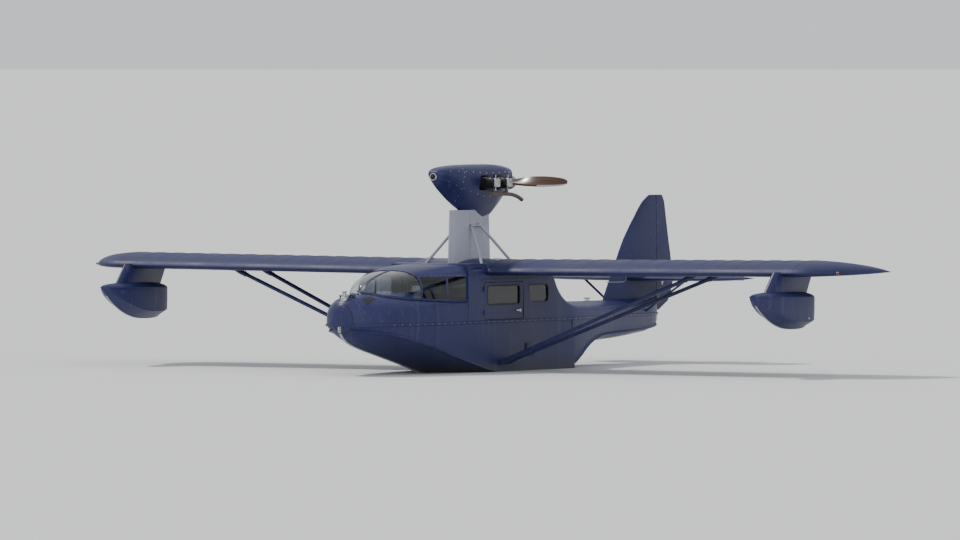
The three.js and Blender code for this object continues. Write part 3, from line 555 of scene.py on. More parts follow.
UP = Vector((0, 0, 1))
fore_rows = [row_at(forebody, y) for y in bow_stations + steps(-2.65, STEP_Y, 30)]
aft_rows = [row_at(afterbody, y) for y in steps(STEP_Y + 0.02, STERN_Y, 24)]
sheer = [Vector((row.top_x, row.y, HULL_TOP)) for row in fore_rows[1:] + aft_rows]
strake_path = sheer[::-1] + [
    Vector((0.05, -3.029, HULL_TOP)), Vector((-0.05, -3.029, HULL_TOP)),
] + flipped(sheer)
strake = [(0.002, -0.017), (-0.012, -0.012), (-0.015, 0), (-0.012, 0.012), (0.002, 0.017)]
piece("rubbing_strake", swept(strake_path, strake, UP), navy, corner=50)
rails = []
rail = [(-0.004, -0.012), (-0.004, 0.016), (0.012, 0.006), (0.022, -0.014)]
for rows in (fore_rows[2:], aft_rows[:-1]):
    chine = [Vector((row.chine_x, row.y, row.chine_z + 0.002)) for row in rows]
    rails.append(swept(chine, rail, UP))
    rails.append(other_side(rails[-1]))
piece("spray_rails", together(*rails), navy)

alloy, tree, sockets = finish("bare alloy")
place = spot(tree)
mottle = noise(tree, place, 9, 5)
fed(
    tree, sockets, Base_Color=blended(tree, mottle, (0.5, 0.51, 0.52), (0.36, 0.37, 0.38)), Metallic=0.9,
    Roughness=stretched(tree, 0.3, 0.7, mottle, 0.3, 0.52),
    Normal=bumped(tree, 0.2, 0.001, noise(tree, place, 420, 2)),
)

keel_band = [(-0.016, 0.004), (-0.011, -0.006), (0.011, -0.006), (0.016, 0.004)]
stem = [Vector((0, row.y, row.keel)) for row in fore_rows[1:-1]]
heel = [Vector((0, row.y, row.keel)) for row in aft_rows[:-1]]
bands = together(swept(stem, keel_band, UP), swept(heel, keel_band, UP))
piece("keel_band", bands, alloy, corner=40)


# Fastenings: small domed screw heads, many at a time, each standing on the surface that it holds.
def screw_heads(places, radius=0.006, height=0.0025, sides=8):
    """places are pairs of a point and the direction that its head faces."""
    bm = bmesh.new()
    for point, facing in places:
        bmesh.ops.create_cone(
            bm, cap_ends=True, segments=sides, radius1=radius, radius2=radius * 0.55, depth=height,
            matrix=aimed(point, facing) @ Matrix.Translation((0, 0, height / 2)),
        )
    return bm


def both(places):
    return list(places) + [((-p[0], *p[1:]), (-f[0], *f[1:])) for p, f in places]


strake_screws = [((row.top_x + 0.014, row.y, HULL_TOP), (1, 0, 0)) for row in fore_rows[8:] + aft_rows[:-2]]
piece("strake_screws", screw_heads(both(strake_screws)), alloy)


def rounded(a, b, radius, corner_steps=8):
    """A rectangle with round corners, as a list of points."""
    corners = [
        (a[1] - radius, b[0] + radius, -90), (a[1] - radius, b[1] - radius, 0),
        (a[0] + radius, b[1] - radius, 90), (a[0] + radius, b[0] + radius, 180),
    ]
    points = []
    for x, y, first in corners:
        for turn in steps(first, first + 90, corner_steps):
            points.append((x + radius * cos(radians(turn)), y + radius * sin(radians(turn))))
    return points


def circle(radius, count):
    return [(radius * cos(a), radius * sin(a)) for a in steps(0, 2 * pi, count)[:-1]]


def moved(bm, matrix):
    bmesh.ops.transform(bm, matrix=matrix, verts=bm.verts)
    return bm


ACROSS = Vector((1, 0, 0))
EYE = Vector((0, -3.029, 0.552))
eye_path = [EYE + Vector((0, 0.003 - 0.03 * sin(a), 0.024 * cos(a))) for a in steps(0, pi, 12)]
eye_ring = circle(0.006, 12)
eye_plate = slab(rounded((-0.022, 0.022), (-0.04, 0.04), 0.012), "z", 0, 0.004)
moved(eye_plate, Matrix.Translation(EYE) @ Matrix.Rotation(pi / 2, 4, "X"))
piece("bow_eye", together(swept(eye_path, eye_ring, ACROSS), eye_plate), alloy)


# Beaching pads: a doubler plate bolted on each side of the hull for the wheels used ashore.
def softened(bm, amount, count=2):
    """Rounds all edges, then builds the body anew: a bevel starts its faces at any corner."""
    bmesh.ops.bevel(
        bm, geom=bm.edges, offset=amount, segments=count, profile=0.5, affect="EDGES", material=-1,
    )
    bm.verts.sort(key=lambda v: round(v.co.z, 5) * 1e10 + round(v.co.y, 5) * 1e5 + round(v.co.x, 5))
    in_fixed_order(bm)
    result = bmesh.new()
    verts = [result.verts.new(v.co) for v in bm.verts]
    for face in bm.faces:
        corners = [v.index for v in face.verts]
        first = corners.index(min(corners))
        made = result.faces.new([verts[i] for i in corners[first:] + corners[:first]])
        made.material_index = face.material_index
    bm.free()
    return result


def bolted_plate(x, y, z, bolts, radius=0.008):
    """A bevelled plate with its bolt heads on its outer face, on the port side."""
    heads = screw_heads([((x[1], b, c), ACROSS) for b, c in bolts], radius, 0.006, 6)
    return together(softened(block(x, y, z), 0.004), heads)


pad_bolts = [(y, z) for y in (0.165, 0.24, 0.315) for z in (0.19, 0.31)]
pad = bolted_plate((0.545, 0.575), (0.14, 0.34), (0.17, 0.33), pad_bolts)
piece("beaching_pads", twins(pad), navy)

# Fore deck: a cambered plywood deck from the stem to the cabin, open at the cockpit, with a locker
# under its hatch near the stem and an anti-slip patch on each side.
deck_lines = made_rows("y top_x shoulder crown boxiness", [
    (-3.03, 0.095, 0.64, 0.8, 2),
    (-2.99, 0.185, 0.662, 0.872, 2),
    (-2.88, 0.285, 0.692, 0.928, 2),
    (-2.65, 0.38, 0.728, 0.955, 2.1),
    (-2.3, 0.47, 0.765, 0.968, 2.2),
    (-1.8, 0.532, 0.795, 0.966, 2.3),
    (CABIN_FRONT, 0.556, 0.82, 0.958, 2.4),
])
ARCH = [0, 6, 12, 19, 26, 33, 41, 49, 57, 65, 73, 82, 90]


def deck_ring(row, inset=0.0, base=HULL_TOP + 0.0004):
    """Across a deck, cabin or windscreen: upright sides and an arch over them."""
    width = row.top_x * 0.988 - inset
    power = 2 / row.boxiness
    arch = []
    for degrees in ARCH:
        angle = radians(degrees)
        across = 0 if degrees == 90 else width * cos(angle) ** power
        rise = (row.crown - inset - row.shoulder) * sin(angle) ** power
        arch.append((across, row.shoulder + rise))
    return both_sides([(row.top_x - inset, base)] + arch, row.y)


def deck_height(table, x, y):
    """How high such a surface stands at a point of its plan."""
    row = row_at(table, y)
    share = min(1.0, abs(x) / (row.top_x * 0.988))
    rise = (1 - share ** row.boxiness) ** (1 / row.boxiness)
    return row.shoulder + (row.crown - row.shoulder) * rise


SEAM = 0.0004
deck_stations = bow_stations + steps(-2.65, CABIN_FRONT - SEAM, 18)
deck_solid = carried(deck_ring, deck_lines, deck_stations)


def shifted(bm, x, y, z):
    twin = bm.copy()
    bmesh.ops.translate(twin, vec=(x, y, z), verts=twin.verts)
    return twin


HATCH_WIDTH = 0.13
HATCH_Y = (-2.85, -2.64)
LID = 0.014


def hatch_plan(gap):
    return block((-HATCH_WIDTH - gap, HATCH_WIDTH + gap), (HATCH_Y[0] - gap, HATCH_Y[1] + gap), (0.6, 1.2))


hinge_y, hinge_z = HATCH_Y[0] - 0.01, 0.956
recess = cut(hatch_plan(0.006), shifted(deck_solid, 0, 0, -LID - SEAM))
locker = block((-0.105, 0.105), (HATCH_Y[0] + 0.025, HATCH_Y[1] - 0.025), (0.78, 1.2))
deck_inside = carried(deck_ring, deck_lines, steps(WELL_FRONT, CABIN_FRONT, 12), 0.025, HULL_TOP - 0.05)
cockpit = block((-0.498, 0.498), (-1.31, CABIN_FRONT + 0.05), (0.78, 1.2))
fore_deck = cut(cut(deck_solid.copy(), deck_inside, inside=True), cockpit, recess, locker)
hinge_lugs = []
for start, end in ((-0.1, -0.085 - SEAM), (-0.05 + SEAM, -0.035), (0.035, 0.05 - SEAM), (0.085 + SEAM, 0.1)):
    hinge_lugs.append(rod((start, hinge_y, hinge_z), (end, hinge_y, hinge_z), 0.007, 20))
    hinge_lugs.append(block((start, end), (hinge_y - 0.02, hinge_y), (hinge_z - 0.05, hinge_z - 0.001)))
fore_deck = joined(fore_deck, *hinge_lugs)
piece("fore_deck_skin", fore_deck, [navy, lining], ["fore_deck"], corner=28)

grit, tree, sockets = finish("anti-slip grit")
place = spot(tree)
grains = noise(tree, place, 420, 2, 0.8)
worn_off = stretched(tree, 0.56, 0.7, noise(tree, place, 16, 4))
gritty = blended(tree, grains, (0.006, 0.006, 0.01), (0.022, 0.024, 0.034))
gritty = blended(tree, worn_off, gritty, (0.024, 0.028, 0.06))
fed(tree, sockets, Base_Color=gritty, Roughness=0.92, Normal=bumped(tree, 0.8, 0.001, grains))
patch = shared(shifted(deck_solid, 0, 0, 0.0016), block((0.16, 0.26), (-2.82, -2.62), (0.7, 1.1)))
patch = cut(patch, shifted(deck_solid, 0, 0, -0.001))
piece("deck_grip_patches", twins(patch), grit)

# Bow hatch: a lid cut to the deck's curve, on two strap hinges, with a grab bar and a turn latch.
lid = shared(deck_solid.copy(), hatch_plan(0))
lid = cut(lid, shifted(deck_solid, 0, 0, -LID))
straps = []
for start, end in ((-0.085, -0.05), (0.05, 0.085)):
    straps.append(rod((start, hinge_y, hinge_z), (end, hinge_y, hinge_z), 0.007, 20))
    straps.append(block((start, end), (hinge_y, HATCH_Y[0] + 0.03), (hinge_z - 0.006, hinge_z - 0.001)))
    straps.append(block((start, end), (HATCH_Y[0], HATCH_Y[0] + 0.03), (hinge_z - 0.04, hinge_z - 0.001)))
piece("bow_hatch_lid", joined(lid, *straps), navy, ["bow_hatch"], "bow_hatch", corner=28)
grip_y = HATCH_Y[1] - 0.03
grip_path = [
    Vector((x, grip_y, deck_height(deck_lines, x, grip_y) - 0.004 + rise))
    for x, rise in ((-0.05, 0), (-0.048, 0.018), (-0.04, 0.026), (0.04, 0.026), (0.048, 0.018), (0.05, 0))
]
around = circle(0.005, 10)
piece("hatch_grip", swept(grip_path, around, Vector((0, 1, 0))), alloy, body="bow_hatch")
latch_top = deck_height(deck_lines, 0, grip_y + 0.012)
latch = rod((0, grip_y - 0.045, latch_top - 0.008), (0, grip_y - 0.045, latch_top + 0.004), 0.014, 20)
piece("hatch_latch", latch, alloy, body="bow_hatch")

# Mooring bitt: a turned post with a flat cap and a crossbar, on a foot that levels the sloping deck.
BITT_Y = -2.93
bitt_profile = [
    (0, 0.88), (0.044, 0.88), (0.044, 0.93), (0.036, 0.936), (0.026, 0.942), (0.022, 0.952),
    (0.022, 0.982), (0.027, 0.988), (0.034, 0.992), (0.034, 1.001), (0.031, 1.004), (0, 1.004),
]


def spun(profile, centre, axis=(0, 0, 1), sides=32):
    """A turned form: profile holds [radius, distance along the axis] from one end to the other."""
    bm = bmesh.new()
    verts = [bm.verts.new((radius, 0, along)) for radius, along in profile]
    edges = [bm.edges.new(pair) for pair in zip(verts, verts[1:])]
    bmesh.ops.spin(
        bm, geom=verts + edges, cent=(0, 0, 0), axis=(0, 0, 1), angle=2 * pi, steps=sides, use_merge=True,
    )
    in_fixed_order(bm)
    bmesh.ops.remove_doubles(bm, verts=bm.verts, dist=0.00001)
    moved(bm, aimed(centre, axis))
    bmesh.ops.recalc_face_normals(bm, faces=bm.faces)
    return bm


bitt = cut(spun(bitt_profile, (0, BITT_Y, 0)), shifted(deck_solid, 0, 0, SEAM))
crossbar = spun(
    [(0, -0.075), (0.008, -0.075), (0.011, -0.072), (0.011, 0.072), (0.008, 0.075), (0, 0.075)],
    (0, BITT_Y, 0.962), (1, 0, 0), 20,
)
piece("bitt_post", joined(bitt, crossbar), alloy, ["mooring_bitt"])

# Windscreen: a clear blown sheet in front, smoked panes at the sides, their dark tint partly a painted
# shade for the dim cabin behind them, and an opaque roof, held to the deck and to each other by a
# painted frame of a rim, a centre strap, two hoops, sills and posts.
screen_lines = made_rows("y top_x shoulder crown boxiness", [
    (-2.555, 0.06, 0.9, 0.962, 2),
    (-2.54, 0.12, 0.905, 1.0, 2),
    (-2.5, 0.195, 0.912, 1.05, 2),
    (-2.42, 0.275, 0.925, 1.102, 2.1),
    (-2.28, 0.355, 0.94, 1.158, 2.3),
    (-2.05, 0.43, 0.965, 1.212, 2.6),
    (-1.75, 0.49, 1.0, 1.256, 3.2),
    (-1.4, 0.525, 1.03, 1.282, 4.2),
    (CABIN_FRONT - SEAM, 0.538, 1.058, 1.29, 6),
])
screen_stations = [-2.555, -2.548, -2.54, -2.52, -2.5, -2.46, -2.42, -2.35, -2.28]
screen_stations += steps(-2.2, CABIN_FRONT - SEAM, 16)
outer_sheet = carried(deck_ring, screen_lines, screen_stations, 0, 0.78)
inner_sheet = carried(deck_ring, screen_lines, screen_stations[2:], 0.005, 0.77)
sheet = cut(outer_sheet, inner_sheet, shifted(deck_solid, 0, 0, SEAM))
HOOP_Y = -1.95
POST_Y = -1.5
SILL_Z = 1.165
roof_zone = block((-0.6, 0.6), (HOOP_Y, CABIN_FRONT + 0.1), (SILL_Z, 1.5))
side_zone = block((-0.6, 0.6), (HOOP_Y, CABIN_FRONT + 0.1), (0.7, SILL_Z))
roof_panel = shared(sheet.copy(), roof_zone.copy())
side_panes = shared(sheet.copy(), side_zone.copy())
front_pane = cut(sheet, roof_zone, side_zone)


def clear(name, tint, rough=0.02, shine=0.5):
    """A faintly smeared sheet. Daylight goes straight through it to what is inside."""
    made, tree, sockets = finish(name)
    smears = stretched(tree, 0.45, 0.75, noise(tree, spot(tree), 5, 4))
    fed(
        tree, sockets, Base_Color=blended(tree, smears, tint, tuple(c * 0.86 for c in tint)), IOR=1.45,
        Roughness=stretched(tree, 0, 1, smears, rough, rough + 0.07), Transmission_Weight=1.0,
        Specular_IOR_Level=shine,
    )
    ray = node(tree, "LightPath").outputs
    passing = maths(tree, "MAXIMUM", ray["Is Shadow Ray"], ray["Is Diffuse Ray"])
    through = node(tree, "BsdfTransparent", {"Color": (*[c**0.5 for c in tint], 1)}).outputs[0]
    shader = tree.nodes["Principled BSDF"].outputs[0]
    mixed = node(tree, "MixShader", {0: passing, 1: shader, 2: through}).outputs[0]
    tree.links.new(mixed, tree.nodes["Material Output"].inputs["Surface"])
    return made


glass = clear("clear sheet", (0.9, 0.95, 0.97))
# The smoked sheet's dark tint is partly painted shade, standing for the dim cabin seen through the side,
# door and rear panes.
smoke_and_shade = clear("smoke-tinted sheet for painted shade", (0.1, 0.115, 0.15), 0.03, 0.2)
piece("windscreen_front", front_pane, glass, ["windscreen"], corner=40)
piece("windscreen_sides", side_panes, smoke_and_shade, corner=40)
piece("windscreen_roof", roof_panel, [navy, lining], corner=40)


def on_screen(y, z):
    """The windscreen's half width at a height, on its upper part."""
    row = row_at(screen_lines, y)
    if z <= row.shoulder:
        return row.top_x * 0.988
    rise = min(1, (z - row.shoulder) / (row.crown - row.shoulder))
    return row.top_x * 0.988 * (1 - rise ** row.boxiness) ** (1 / row.boxiness)


rim = [(0, -0.004), (0, 0.02), (-0.004, 0.022), (-0.007, 0.004), (-0.022, 0.002), (-0.022, -0.004)]
rim_side = []
for y in screen_stations[::-1]:
    x = row_at(screen_lines, y).top_x
    rim_side.append(Vector((x, y, deck_height(deck_lines, x, y))))
rim_path = rim_side + [Vector((0, -2.557, deck_height(deck_lines, 0, -2.557)))] + flipped(rim_side[::-1])
strap = [(-0.02, -0.003), (-0.018, 0.003), (0.018, 0.003), (0.02, -0.003)]


def hoop(y, low=0.9, thick=1.0):
    """A strap over the windscreen from one side of the deck to the other."""
    centre = Vector((0, y, 1.0))
    points = [
        p + (p - centre).normalized() * 0.001 for p in deck_ring(row_at(screen_lines, y), 0, 0.8)[1:-1]
    ]
    points[0].z = points[-1].z = low
    outward = [(p - centre).normalized() for p in points]
    return swept(points, [(a * thick, b) for a, b in strap], outward)


centre_y = steps(-2.545, HOOP_Y, 20)
centre_strap = swept([Vector((0, y, row_at(screen_lines, y).crown + 0.001)) for y in centre_y], strap, UP)
sill_points = [Vector((on_screen(y, SILL_Z), y, SILL_Z)) for y in steps(HOOP_Y, CABIN_FRONT - 0.004, 22)]
sill = swept(sill_points, strap, [Vector((p.x, 0, 0.35)).normalized() for p in sill_points])
post_points = [Vector((on_screen(POST_Y, z), POST_Y, z)) for z in steps(0.93, SILL_Z, 8)]
side_post = swept(post_points, strap, Vector((1, 0, 0.15)).normalized())
frames = together(
    swept(rim_path, rim, UP), centre_strap, hoop(HOOP_Y, 0.93), hoop(CABIN_FRONT - 0.012, 0.9, 0.6), sill,
    other_side(sill), side_post, other_side(side_post),
)
piece("windscreen_frame", frames, navy, corner=40)

rim_screws = []
for before, point, after in list(zip(rim_path, rim_path[1:], rim_path[2:]))[1:-1:2]:
    aside = (after - before).cross(UP).normalized()
    rim_screws.append((point - aside * 0.0145 + UP * 0.003, UP))
for point in sill_points[1:-1:2]:
    facing = Vector((1, 0, 0.35))
    rim_screws += both([(point + facing.normalized() * 0.003, facing)])
for y in centre_y[2:-1:3]:
    rim_screws.append(((0, y, row_at(screen_lines, y).crown + 0.0035), UP))
piece("windscreen_screws", screw_heads(rim_screws, 0.0045, 0.002), alloy)

# Cabin: plywood side walls up to the wing, a short roof ahead of it and a sloped rear bulkhead.
# Doors and windows are cut through the wall; the post by each door carries half of its hinges.
# Black rubber seals the doors and the wing, and a gutter runs over each door.
cabin_lines = made_rows("y top_x shoulder crown boxiness", [
    (CABIN_FRONT, 0.556, 1.085, 1.262, 7),
    (-0.7, 0.559, 1.085, 1.285, 7),
    (0.4, 0.56, 1.085, 1.285, 7),
    (0.69, 0.559, 1.08, 1.192, 7),
    (0.765, 0.559, 1.06, 1.183, 6.5),
    (0.86, 0.559, 0.925, 1.04, 5),
    (0.98, 0.558, 0.815, 0.925, 4),
    (1.12, 0.557, 0.745, 0.858, 3),
    (STEP_Y, 0.554, 0.712, 0.822, 2.6),
    (CABIN_REAR, 0.526, 0.69, 0.8, 2.3),
])
cabin_stations = [
    CABIN_FRONT, -0.7, 0.0, 0.4, 0.69, 0.765, 0.81, 0.86, 0.915, 0.98, 1.05, 1.12, 1.19, STEP_Y, 1.32,
    1.39, CABIN_REAR,
]
WING_Z = 1.195
CHORD = 1.5
ROOT_X = 0.56
TIP_X = 4.8
HALF_SPAN = 5.5
DIHEDRAL = tan(radians(0.4))
RIB = 0.265


def foil(camber, thickness, count):
    """Wing section of chord 1 as [along, up] points, from the trailing edge over the top and back."""
    crest = 0.4

    def at(u, side):
        shape = 0.2969 * sqrt(u) - 0.126 * u - 0.3516 * u**2 + 0.2843 * u**3 - 0.1015 * u**4
        share = crest if u < crest else 1 - crest
        mean = 2 * crest * u - u**2 if u < crest else 1 - 2 * crest + 2 * crest * u - u**2
        return u, mean * camber / share**2 + side * 5 * thickness * shape

    shares = [(1 - cos(pi * i / count)) / 2 for i in range(count + 1)]
    return [at(u, 1) for u in reversed(shares)] + [at(u, -1) for u in shares[1:]]


def wing_z(x):
    return WING_Z + DIHEDRAL * max(0, x - ROOT_X)


def wing_ring(x, proud=0.0, sag=0.0, count=18):
    """Across the wing; sag draws the cloth in between two ribs, proud stands off the skin."""
    out = max(0, (x - TIP_X) / (HALF_SPAN - TIP_X))
    chord = CHORD * sqrt(1 - out**2)
    ring = []
    for u, h in foil(0.04, 0.12, count):
        drawn = sag * min(1, max(0, (u - 0.1) / 0.12)) * min(1, max(0, (0.96 - u) / 0.1))
        middle = 0.21 * (CHORD - chord)
        height = h * chord * (1 - 0.12 * out) * (1 - drawn)
        place = Vector((x, middle + (u - 0.5) * chord, wing_z(x) + height))
        away = Vector((0, (u - 0.45) * 0.5, h)).normalized()
        ring.append(place + away * proud)
    return ring


hollow = block((-0.521, 0.521), (-1.3, WELL_REAR), (0.4, 1.4))
roof = slab(
    [
        (-1.1, 1.196), (-1.1, 1.293), (-0.96, 1.302), (-0.8, 1.298), (-0.69, 1.284), (-0.69, 1.15),
        (-0.79, 1.15), (-0.8, 1.25), (-0.96, 1.24),
    ],
    "x", -0.545, 0.545,
)
centre_section = lofted([wing_ring(x) for x in (-ROOT_X, ROOT_X)])

OPENINGS = {
    "door": ((-0.76, 0.1), (0.628, 1.066), 0.03), "door window": ((-0.69, 0.03), (0.8, 1.03), 0.045),
    "rear window": ((0.225, 0.66), (0.815, 1.03), 0.06),
}


def opening(name, grow):
    """The outline of a door or window, grown a little on every side."""
    y, z, radius = OPENINGS[name]
    return rounded((y[0] - grow, y[1] + grow), (z[0] - grow, z[1] + grow), radius + grow)


def through_walls(outline):
    return slab(outline, "x", -0.7, 0.7)


shell = cut(carried(deck_ring, cabin_lines, cabin_stations), hollow, inside=True)
shell = joined(cut(shell, block((-0.7, 0.7), (-0.69, 1.0), (WING_Z + 0.02, 1.5))), roof)
shell = cut(
    shell, through_walls(opening("door", 0.006)), through_walls(opening("rear window", 0)),
    shifted(centre_section, 0, 0, -SEAM), shifted(centre_section, 0, -SEAM, 0),
)
pin_x, pin_y = 0.563, -0.766
for z in (0.7, 0.98):
    relief = block((0.54, 0.6), (pin_y - 0.012, -0.76), (z - SEAM, z + 0.046))
    shell = cut(shell, other_side(relief), relief)
    post = rod((pin_x, pin_y, z - 0.02), (pin_x, pin_y, z - SEAM), 0.007, 20)
    post = joined(post, block((0.548, pin_x), (pin_y - 0.025, pin_y), (z - 0.02, z - SEAM)))
    shell = joined(shell, other_side(post), post)
piece("cabin_walls", shell, [navy, lining], ["cabin_shell"], corner=28)

rubber, tree, sockets = finish("black rubber")
place = spot(tree)
dusty = noise(tree, place, 30, 4)
fed(
    tree, sockets, Base_Color=blended(tree, dusty, (0.012, 0.012, 0.013), (0.035, 0.035, 0.034)),
    Roughness=stretched(tree, 0.3, 0.7, dusty, 0.55, 0.75),
    Normal=bumped(tree, 0.3, 0.0005, noise(tree, place, 300, 2)),
)
gutter = swept(
    [(0.5565, y, 1.1) for y in (-0.83, -0.8, 0.68, 0.7)],
    [(0, -0.004), (0, 0), (0.007, 0), (0.008, 0.004), (0.011, 0.004), (0.009, -0.004)], UP,
)

wing_seal = softened(block((-0.5, 0.5), (0.7, 0.735), (1.172, 1.2)), 0.004)
seals = cut(
    slab(opening("door", 0.016), "x", 0.5125, 0.5205), slab(opening("door", -0.009), "x", 0.5, 0.53),
)
piece("rubber_seals", together(wing_seal, other_side(seals), seals), rubber)
piece("door_gutters", twins(gutter), navy)


# Doors: one on each side, with a rubber-set window, a lever outside and hinges at the front edge.
def no_doubles(path):
    return [p for i, p in enumerate(path) if (p - path[i - 1]).length > 1e-5]


def window_bead(outline, x, depth=0.005):
    """A rubber channel round a pane, seen from outside and inside."""
    path = no_doubles([Vector((x, a, b)) for a, b in outline])
    section = [
        (-0.012, -0.002), (-0.012, depth * 0.6), (-0.006, depth), (0.004, depth * 0.8), (0.007, -0.002),
    ]
    return swept(path, section, ACROSS, loop=True)


for side, label in SIDES:
    door = slab(opening("door", 0), "x", 0.521, 0.553)
    for z in (0.7, 0.98):
        leaf = joined(
            rod((pin_x, pin_y, z), (pin_x, pin_y, z + 0.04), 0.007, 20),
            block((0.548, pin_x), (pin_y, -0.73), (z, z + 0.04)),
        )
        door = joined(door, leaf)
    door = cut(door, through_walls(opening("door window", 0)))
    for face in door.faces:
        if face.normal.x < -0.9:
            face.material_index = 1
    pane = slab(opening("door window", -SEAM), "x", 0.534, 0.54)
    bead = window_bead(opening("door window", 0.0), 0.553)
    rear_pane = slab(opening("rear window", -SEAM), "x", 0.534, 0.54)
    rear_bead = window_bead(opening("rear window", 0.0), 0.5525)
    lever_y, lever_z = 0.035, 0.725
    rose = spun(
        [(0, 0), (0.022, 0), (0.022, 0.003), (0.017, 0.006), (0.01, 0.007), (0.01, 0.015), (0, 0.015)],
        (0.552, lever_y, lever_z), (1, 0, 0), 24,
    )
    handle = swept(
        [(0.563, lever_y + s, lever_z + 0.002) for s in (0.008, -0.01, -0.05, -0.09, -0.1)],
        [(-0.007, -0.004), (-0.007, 0.004), (0.007, 0.004), (0.007, -0.004)], ACROSS,
    )
    parts = [door, pane, bead, rear_pane, rear_bead, together(rose, handle)]
    door, pane, bead, rear_pane, rear_bead, lever = [on_side(bm, side) for bm in parts]
    body = "door_" + label
    piece("door_panel_" + label, door, [navy, lining], ["door_" + label], body, corner=28)
    piece("door_pane_" + label, pane, smoke_and_shade, ["door_glass_" + label], body)
    piece("door_bead_" + label, bead, rubber, body=body, corner=50)
    piece("door_lever_" + label, lever, alloy, body=body)
    piece("rear_pane_" + label, rear_pane, smoke_and_shade, ["rear_window_" + label])
    piece("rear_bead_" + label, rear_bead, rubber, corner=50)

# Rear deck: a rounded plywood deck from the cabin to the stern, ending in the rudder's heel bearing,
# with an inspection plate and a cleat screwed on its crown.
rear_deck_lines = made_rows("y top_x shoulder crown boxiness", [
    (CABIN_REAR, 0.526, 0.69, 0.8, 2.3),
    (1.7, 0.482, 0.69, 0.79, 2.2),
    (2.05, 0.42, 0.685, 0.784, 2.1),
    (2.5, 0.348, 0.68, 0.782, 2),
    (3.0, 0.276, 0.68, 0.784, 2),
    (3.5, 0.196, 0.685, 0.79, 2),
    (3.75, 0.138, 0.688, 0.794, 2),
    (STERN_Y, 0.052, 0.694, 0.798, 2),
])
RUDDER_Y = 3.975
rear_deck = carried(deck_ring, rear_deck_lines, steps(CABIN_REAR + SEAM, STERN_Y, 24))
bearing = joined(
    block((-0.014, 0.014), (STERN_Y - 0.04, RUDDER_Y), (0.61, 0.6396)),
    rod((0, RUDDER_Y, 0.61), (0, RUDDER_Y, 0.6396), 0.014, 24),
)
piece("rear_deck_skin", joined(rear_deck, bearing), navy, ["rear_deck"], corner=28)

cleat_base = softened(block((-0.016, 0.016), (2.36, 2.44), (0.772, 0.79)), 0.003)
cleat_horns = spun(
    [(0, -0.075), (0.005, -0.073), (0.008, -0.06), (0.01, 0), (0.008, 0.06), (0.005, 0.073), (0, 0.075)],
    (0, 2.4, 0.815), (0, 1, 0), 16,
)
legs = [rod((0, y, 0.785), (0, y, 0.815), 0.007, 12) for y in (2.38, 2.42)]
plate_profile = [
    (0, -0.008), (0.085, -0.008), (0.085, 0.002), (0.08, 0.004), (0.07, 0.004), (0.068, 0.002), (0, 0.002),
]
deck_plate = spun(plate_profile, (0, 1.85, deck_height(rear_deck_lines, 0, 1.85)), (0, 0.017, 1), 36)
piece("stern_cleat", together(cleat_base, cleat_horns, *legs, deck_plate), alloy)

# Wing: spruce ribs and spars under doped cloth, which is drawn in a little between the ribs and
# taped over each of them; plywood wraps the leading edge.
weave, given, gives = effect("weave", {"Threads": 900.0}, ["Height", "Fade"])
place = spot(weave)
axes = node(weave, "SeparateXYZ", {"Vector": place}).outputs
warp = maths(weave, "SINE", times(weave, axes["X"], given["Threads"]))
weft = maths(weave, "SINE", times(weave, axes["Y"], given["Threads"]))
threads = times(weave, plus(weave, warp, weft), 0.02)
slack = times(weave, noise(weave, place, 5, 2), 0.5)
weave.links.new(plus(weave, threads, slack), gives["Height"])
weave.links.new(stretched(weave, 0.4, 0.65, noise(weave, place, 1.4, 5)), gives["Fade"])

navy_cloth, tree, sockets = finish("navy dope on cloth")
cloth = node(tree, "Group", node_tree=weave).outputs
worn = node(tree, "Group", {"Runs": 0.2}, node_tree=weather).outputs
tone = blended(tree, cloth["Fade"], (0.015, 0.018, 0.07), (0.023, 0.027, 0.092))
tone = blended(tree, times(tree, worn["Spots"], 0.05), tone, (0.4, 0.41, 0.41))
fed(
    tree, sockets, Base_Color=tone, Roughness=stretched(tree, 0, 1, cloth["Fade"], 0.48, 0.62),
    Specular_IOR_Level=0.28, Normal=bumped(tree, 0.4, 0.003, cloth["Height"]),
)

lifting = bolted_plate((1.3, 1.352), (-0.4, -0.32), (-0.52, -0.44), [(-0.38, -0.5), (-0.34, -0.46)], 0.006)
moved(lifting, Matrix(((0, 0, -1, 0), (0, 1, 0, 0), (1, 0, 0, 0), (0, 0, 0, 1))))
piece("wing_centre_skin", centre_section.copy(), navy, ["wing_centre"], corner=50)
piece("lifting_pads", twins(lifting), alloy)

AILERON = (3.05, 4.76)
HINGE_Y = 0.4
BAY_GAP = 0.008
NOSE = 0.042


def on_hinge(x):
    return Vector((x, HINGE_Y, wing_z(x) + 0.0376))


def between_ribs(x):
    return 0.035 * sin(pi * (x - ROOT_X) / RIB) ** 2


ribs = steps(ROOT_X, TIP_X, round((TIP_X - ROOT_X) / RIB))
panel_stations = [x + (RIB * k / 4) for x in ribs[:-1] for k in range(4)]
panel_stations[0] = ROOT_X + SEAM
tip_turns = (0, 8, 15, 23, 32, 40, 48, 55, 62, 68, 74, 79, 83)
tip_stations = [TIP_X + (HALF_SPAN - TIP_X) * sin(radians(a)) for a in tip_turns]
panel = lofted(
    [wing_ring(x, 0, between_ribs(x)) for x in panel_stations] + [wing_ring(x) for x in tip_stations]
)
bay = joined(
    block((AILERON[0] - BAY_GAP, AILERON[1] + BAY_GAP), (HINGE_Y, 0.9), (0.9, 1.5)),
    rod(on_hinge(AILERON[0] - BAY_GAP), on_hinge(AILERON[1] + BAY_GAP), NOSE + BAY_GAP, 40),
)
aileron_block = block(AILERON, (HINGE_Y, 0.9), (0.9, 1.5))


def taped(ring, place, half_width, lift):
    """A cloth tape round a rib; ring gives the outline at a place, so far off the skin."""
    section = ((-half_width, -0.001), (-half_width, lift), (half_width, lift), (half_width, -0.001))
    return lofted([ring(place + a, b) for a, b in section], loop=True)


